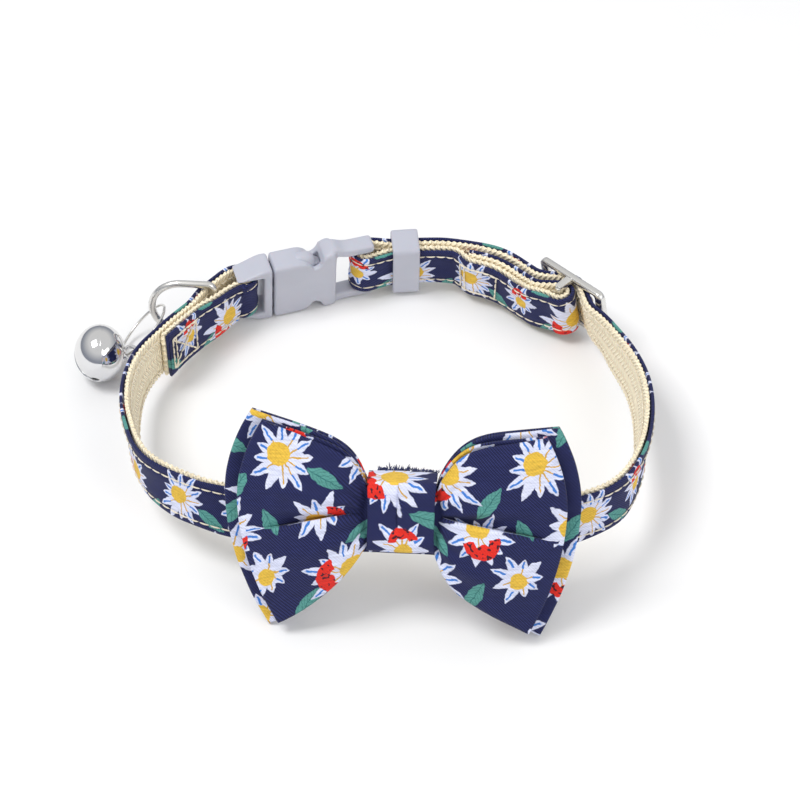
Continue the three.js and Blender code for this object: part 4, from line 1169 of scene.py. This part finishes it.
# Places along the buckle, from its female end to its male end: in the solids, and as moulded.
ALONG_SOLID = [-14.6, -11.0, -7.6, -6.3, 0.3, 7.0, 14.6]
ALONG_MOULDED = [-14.6, -11.0, -6.4, -3.7, 3.0, 7.0, 14.6]
TAB_HALF = (2.75, 1.95, 3.15)
TAB_ALONG = 0.5
TAB_ASIDE = 4.35
BUCKLE_CELL = 0.22
KEEPER_CELL = 0.17


def female_shape(p):
    """The socket's cut-outs lie nearer to the joint, and behind each the rail stands up in a hump of
    1.1 exp(-((x + 5.9) / 1.9)^2)."""
    x = np.interp(p[:, 0], ALONG_SOLID, ALONG_MOULDED)
    z = p[:, 2]
    hump = 1.1 * np.exp(-(((x + 5.9) / 1.9) ** 2)) * step_between(np.abs(z), 4.0, 6.0)
    return np.stack([x, p[:, 1], z + np.sign(z) * hump * np.where(z > 0, 1.0, 0.35)], axis=1)


def male_shape(p):
    """The frame's corners slope down to its end: what lies outside the window's edge shrinks by 0.85."""
    x = np.interp(p[:, 0], ALONG_SOLID, ALONG_MOULDED)
    window = STRAP_WIDTH / 2 + FIT
    over = np.maximum(np.abs(p[:, 2]) - window, 0) * (1 - 0.85 * step_between(x, 8.2, 14.6))
    z = np.sign(p[:, 2]) * (np.minimum(np.abs(p[:, 2]), window) + over)
    y = p[:, 1] * (1 - 0.12 * step_between(x, 9.0, 14.6))
    return np.stack([x, y, z], axis=1)


def prong_tabs():
    """The domed press tabs of the two side prongs, in the socket's cut-outs. Along x each goes as the
    sine of a latitude, and its section shrinks as the cosine to the power 0.6."""
    origin, ahead, out, up = (value[0] for value in LOOP.frames(BUCKLE_AT))
    lat = np.linspace(-np.pi / 2, np.pi / 2, 33)[1:-1]
    lon = TAU * np.arange(48) / 48
    for side, name in ((1, "prong_tab_upper"), (-1, "prong_tab_lower")):
        reach = TAB_HALF[0] * np.sin(lat)[:, None] + 0 * lon
        round_off = np.cos(lat)[:, None] ** 0.6
        deep = TAB_HALF[1] * round_off * np.sign(np.cos(lon)) * np.abs(np.cos(lon)) ** 0.7
        tall = TAB_HALF[2] * round_off * np.sin(lon)
        x, z = TAB_ALONG + reach, side * (TAB_ASIDE + tall)
        rings = origin + x[..., None] * ahead - deep[..., None] * out + z[..., None] * up + SHIFT
        grid_piece(name, rings, PLASTIC, closed=False)


def slider_piece():
    """The slider's own mesh with its edges rounded by a bevel."""
    piece = node_mesh("slider", "slider_plate", NICKEL)
    edge = {"limit_method": "ANGLE", "angle_limit": np.radians(50)}
    modifier(piece, "BEVEL", width=0.12 * MM, segments=3, **edge)
    modifier(piece, "WEIGHTED_NORMAL", keep_sharp=True)
    apply_modifiers(piece)
    finish_node(piece, "slider")


# --- Assembly --------------------------------

webbing_piece()
ribbon_piece()
stitch_rows()
sewn_box("box_stitch_left", 1.0, BOX + CROSS)
sewn_box("box_stitch_tail", STRAP_LENGTH - 2 * TAIL - np.pi * PIN_TURN + 1.5, BOX)

APART = CLOTH + BOW_GAP
back_bow = bow_panels("bow_back_cloth", BOW_BACK, -APART, 0.0, BACK_PRINT)
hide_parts("bow_back")
front_bow = bow_panels("bow_front_cloth", BOW_FRONT, APART, PUFF, FRONT_PRINT)
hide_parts("bow_front")
knot_piece()
frayed_edge()

d_ring_piece()
bell_piece(*jump_ring_piece())
moulded_node("buckle_female", "buckle_female_shell", BUCKLE_AT, BUCKLE_CELL, female_shape)
moulded_node("buckle_male", "buckle_male_shell", BUCKLE_AT, BUCKLE_CELL, male_shape)
moulded_node("keeper", "keeper_band", KEEPER_AT, KEEPER_CELL)
prong_tabs()
slider_piece()
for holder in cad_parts["bell_pea"].material_slots:
    holder.material = NICKEL


# --- Stage -----------------------------------

FLOOR_REACH = 3.0  # metres
CAMERA_DISTANCE = 480.0
CAMERA_RISE = np.radians(44.0)
CAMERA_TARGET = np.array([2.5, 0.0, 6.0])
PICTURE_WIDTH = 800
POINTS_TO_MM = 5.1  # how many points of the picture's width a millimetre at the target takes


def floor_piece():
    """A wide flat floor just under the collar."""
    mesh = bpy.data.meshes.new("floor")
    corners = [(x * FLOOR_REACH, y * FLOOR_REACH, 0) for x, y in ((-1, -1), (1, -1), (1, 1), (-1, 1))]
    mesh.from_pydata(corners, [], [(0, 1, 2, 3)])
    made, n, shader = material("floor_paper")
    paper = n.mix(n.noise(n.place(), 40.0), (0.9, 0.9, 0.9, 1), (0.93, 0.93, 0.93, 1))
    n.feed(shader.inputs["Base Color"], paper)
    shader.inputs["Roughness"].default_value = 0.9
    mesh.materials.append(made)
    floor = bpy.data.objects.new("floor", mesh)
    bpy.context.scene.collection.objects.link(floor)


def aim(thing, at):
    """Turns a light or camera so that it looks at a point."""
    thing.rotation_euler = (Vector(at) - thing.location).to_track_quat("-Z", "Y").to_euler()


def area_light(name, place, size, power, colour=(1, 1, 1)):
    """A square soft light that faces the collar."""
    data = bpy.data.lights.new(name, "AREA")
    data.size = size
    data.energy = power
    data.color = colour
    light = bpy.data.objects.new(name, data)
    light.location = place
    aim(light, (0, 0, 0.01))
    bpy.context.scene.collection.objects.link(light)


def studio():
    """Soft light from the left and the front, in a white room that is cooler and dimmer near the floor."""
    world = bpy.data.worlds.new("room")
    bpy.context.scene.world = world
    world.use_nodes = True
    n = Nodes(world.node_tree)
    up = n.axes(n.add("ShaderNodeTexCoord").outputs["Generated"])[2]
    share = n.line(up, 2.0, -0.3, clamped=True)
    room = world.node_tree.nodes["Background"].inputs
    n.feed(room["Color"], n.mix(share, (0.4, 0.43, 0.5, 1), (1.0, 1.0, 1.0, 1)))
    room["Strength"].default_value = 0.77
    area_light("key", (-0.35, -0.08, 0.7), 0.3, 2.9)
    area_light("fill", (0.5, -0.45, 0.4), 0.5, 1.5, (1.0, 0.98, 0.95))


def camera():
    """The photograph's view, square on, from above a point near the collar's middle."""
    target = CAMERA_TARGET + SHIFT
    ahead = np.array([0.0, np.cos(CAMERA_RISE), -np.sin(CAMERA_RISE)])
    data = bpy.data.cameras.new("photo_view")
    data.sensor_width = 36.0
    data.lens = data.sensor_width * POINTS_TO_MM * CAMERA_DISTANCE / PICTURE_WIDTH
    data.clip_start = 0.01
    view = bpy.data.objects.new("photo_view", data)
    view.location = (target - ahead * CAMERA_DISTANCE) * MM
    aim(view, target * MM)
    bpy.context.scene.collection.objects.link(view)
    bpy.context.scene.camera = view


camera()
floor_piece()
studio()
bpy.context.scene.view_settings.view_transform = "Standard"
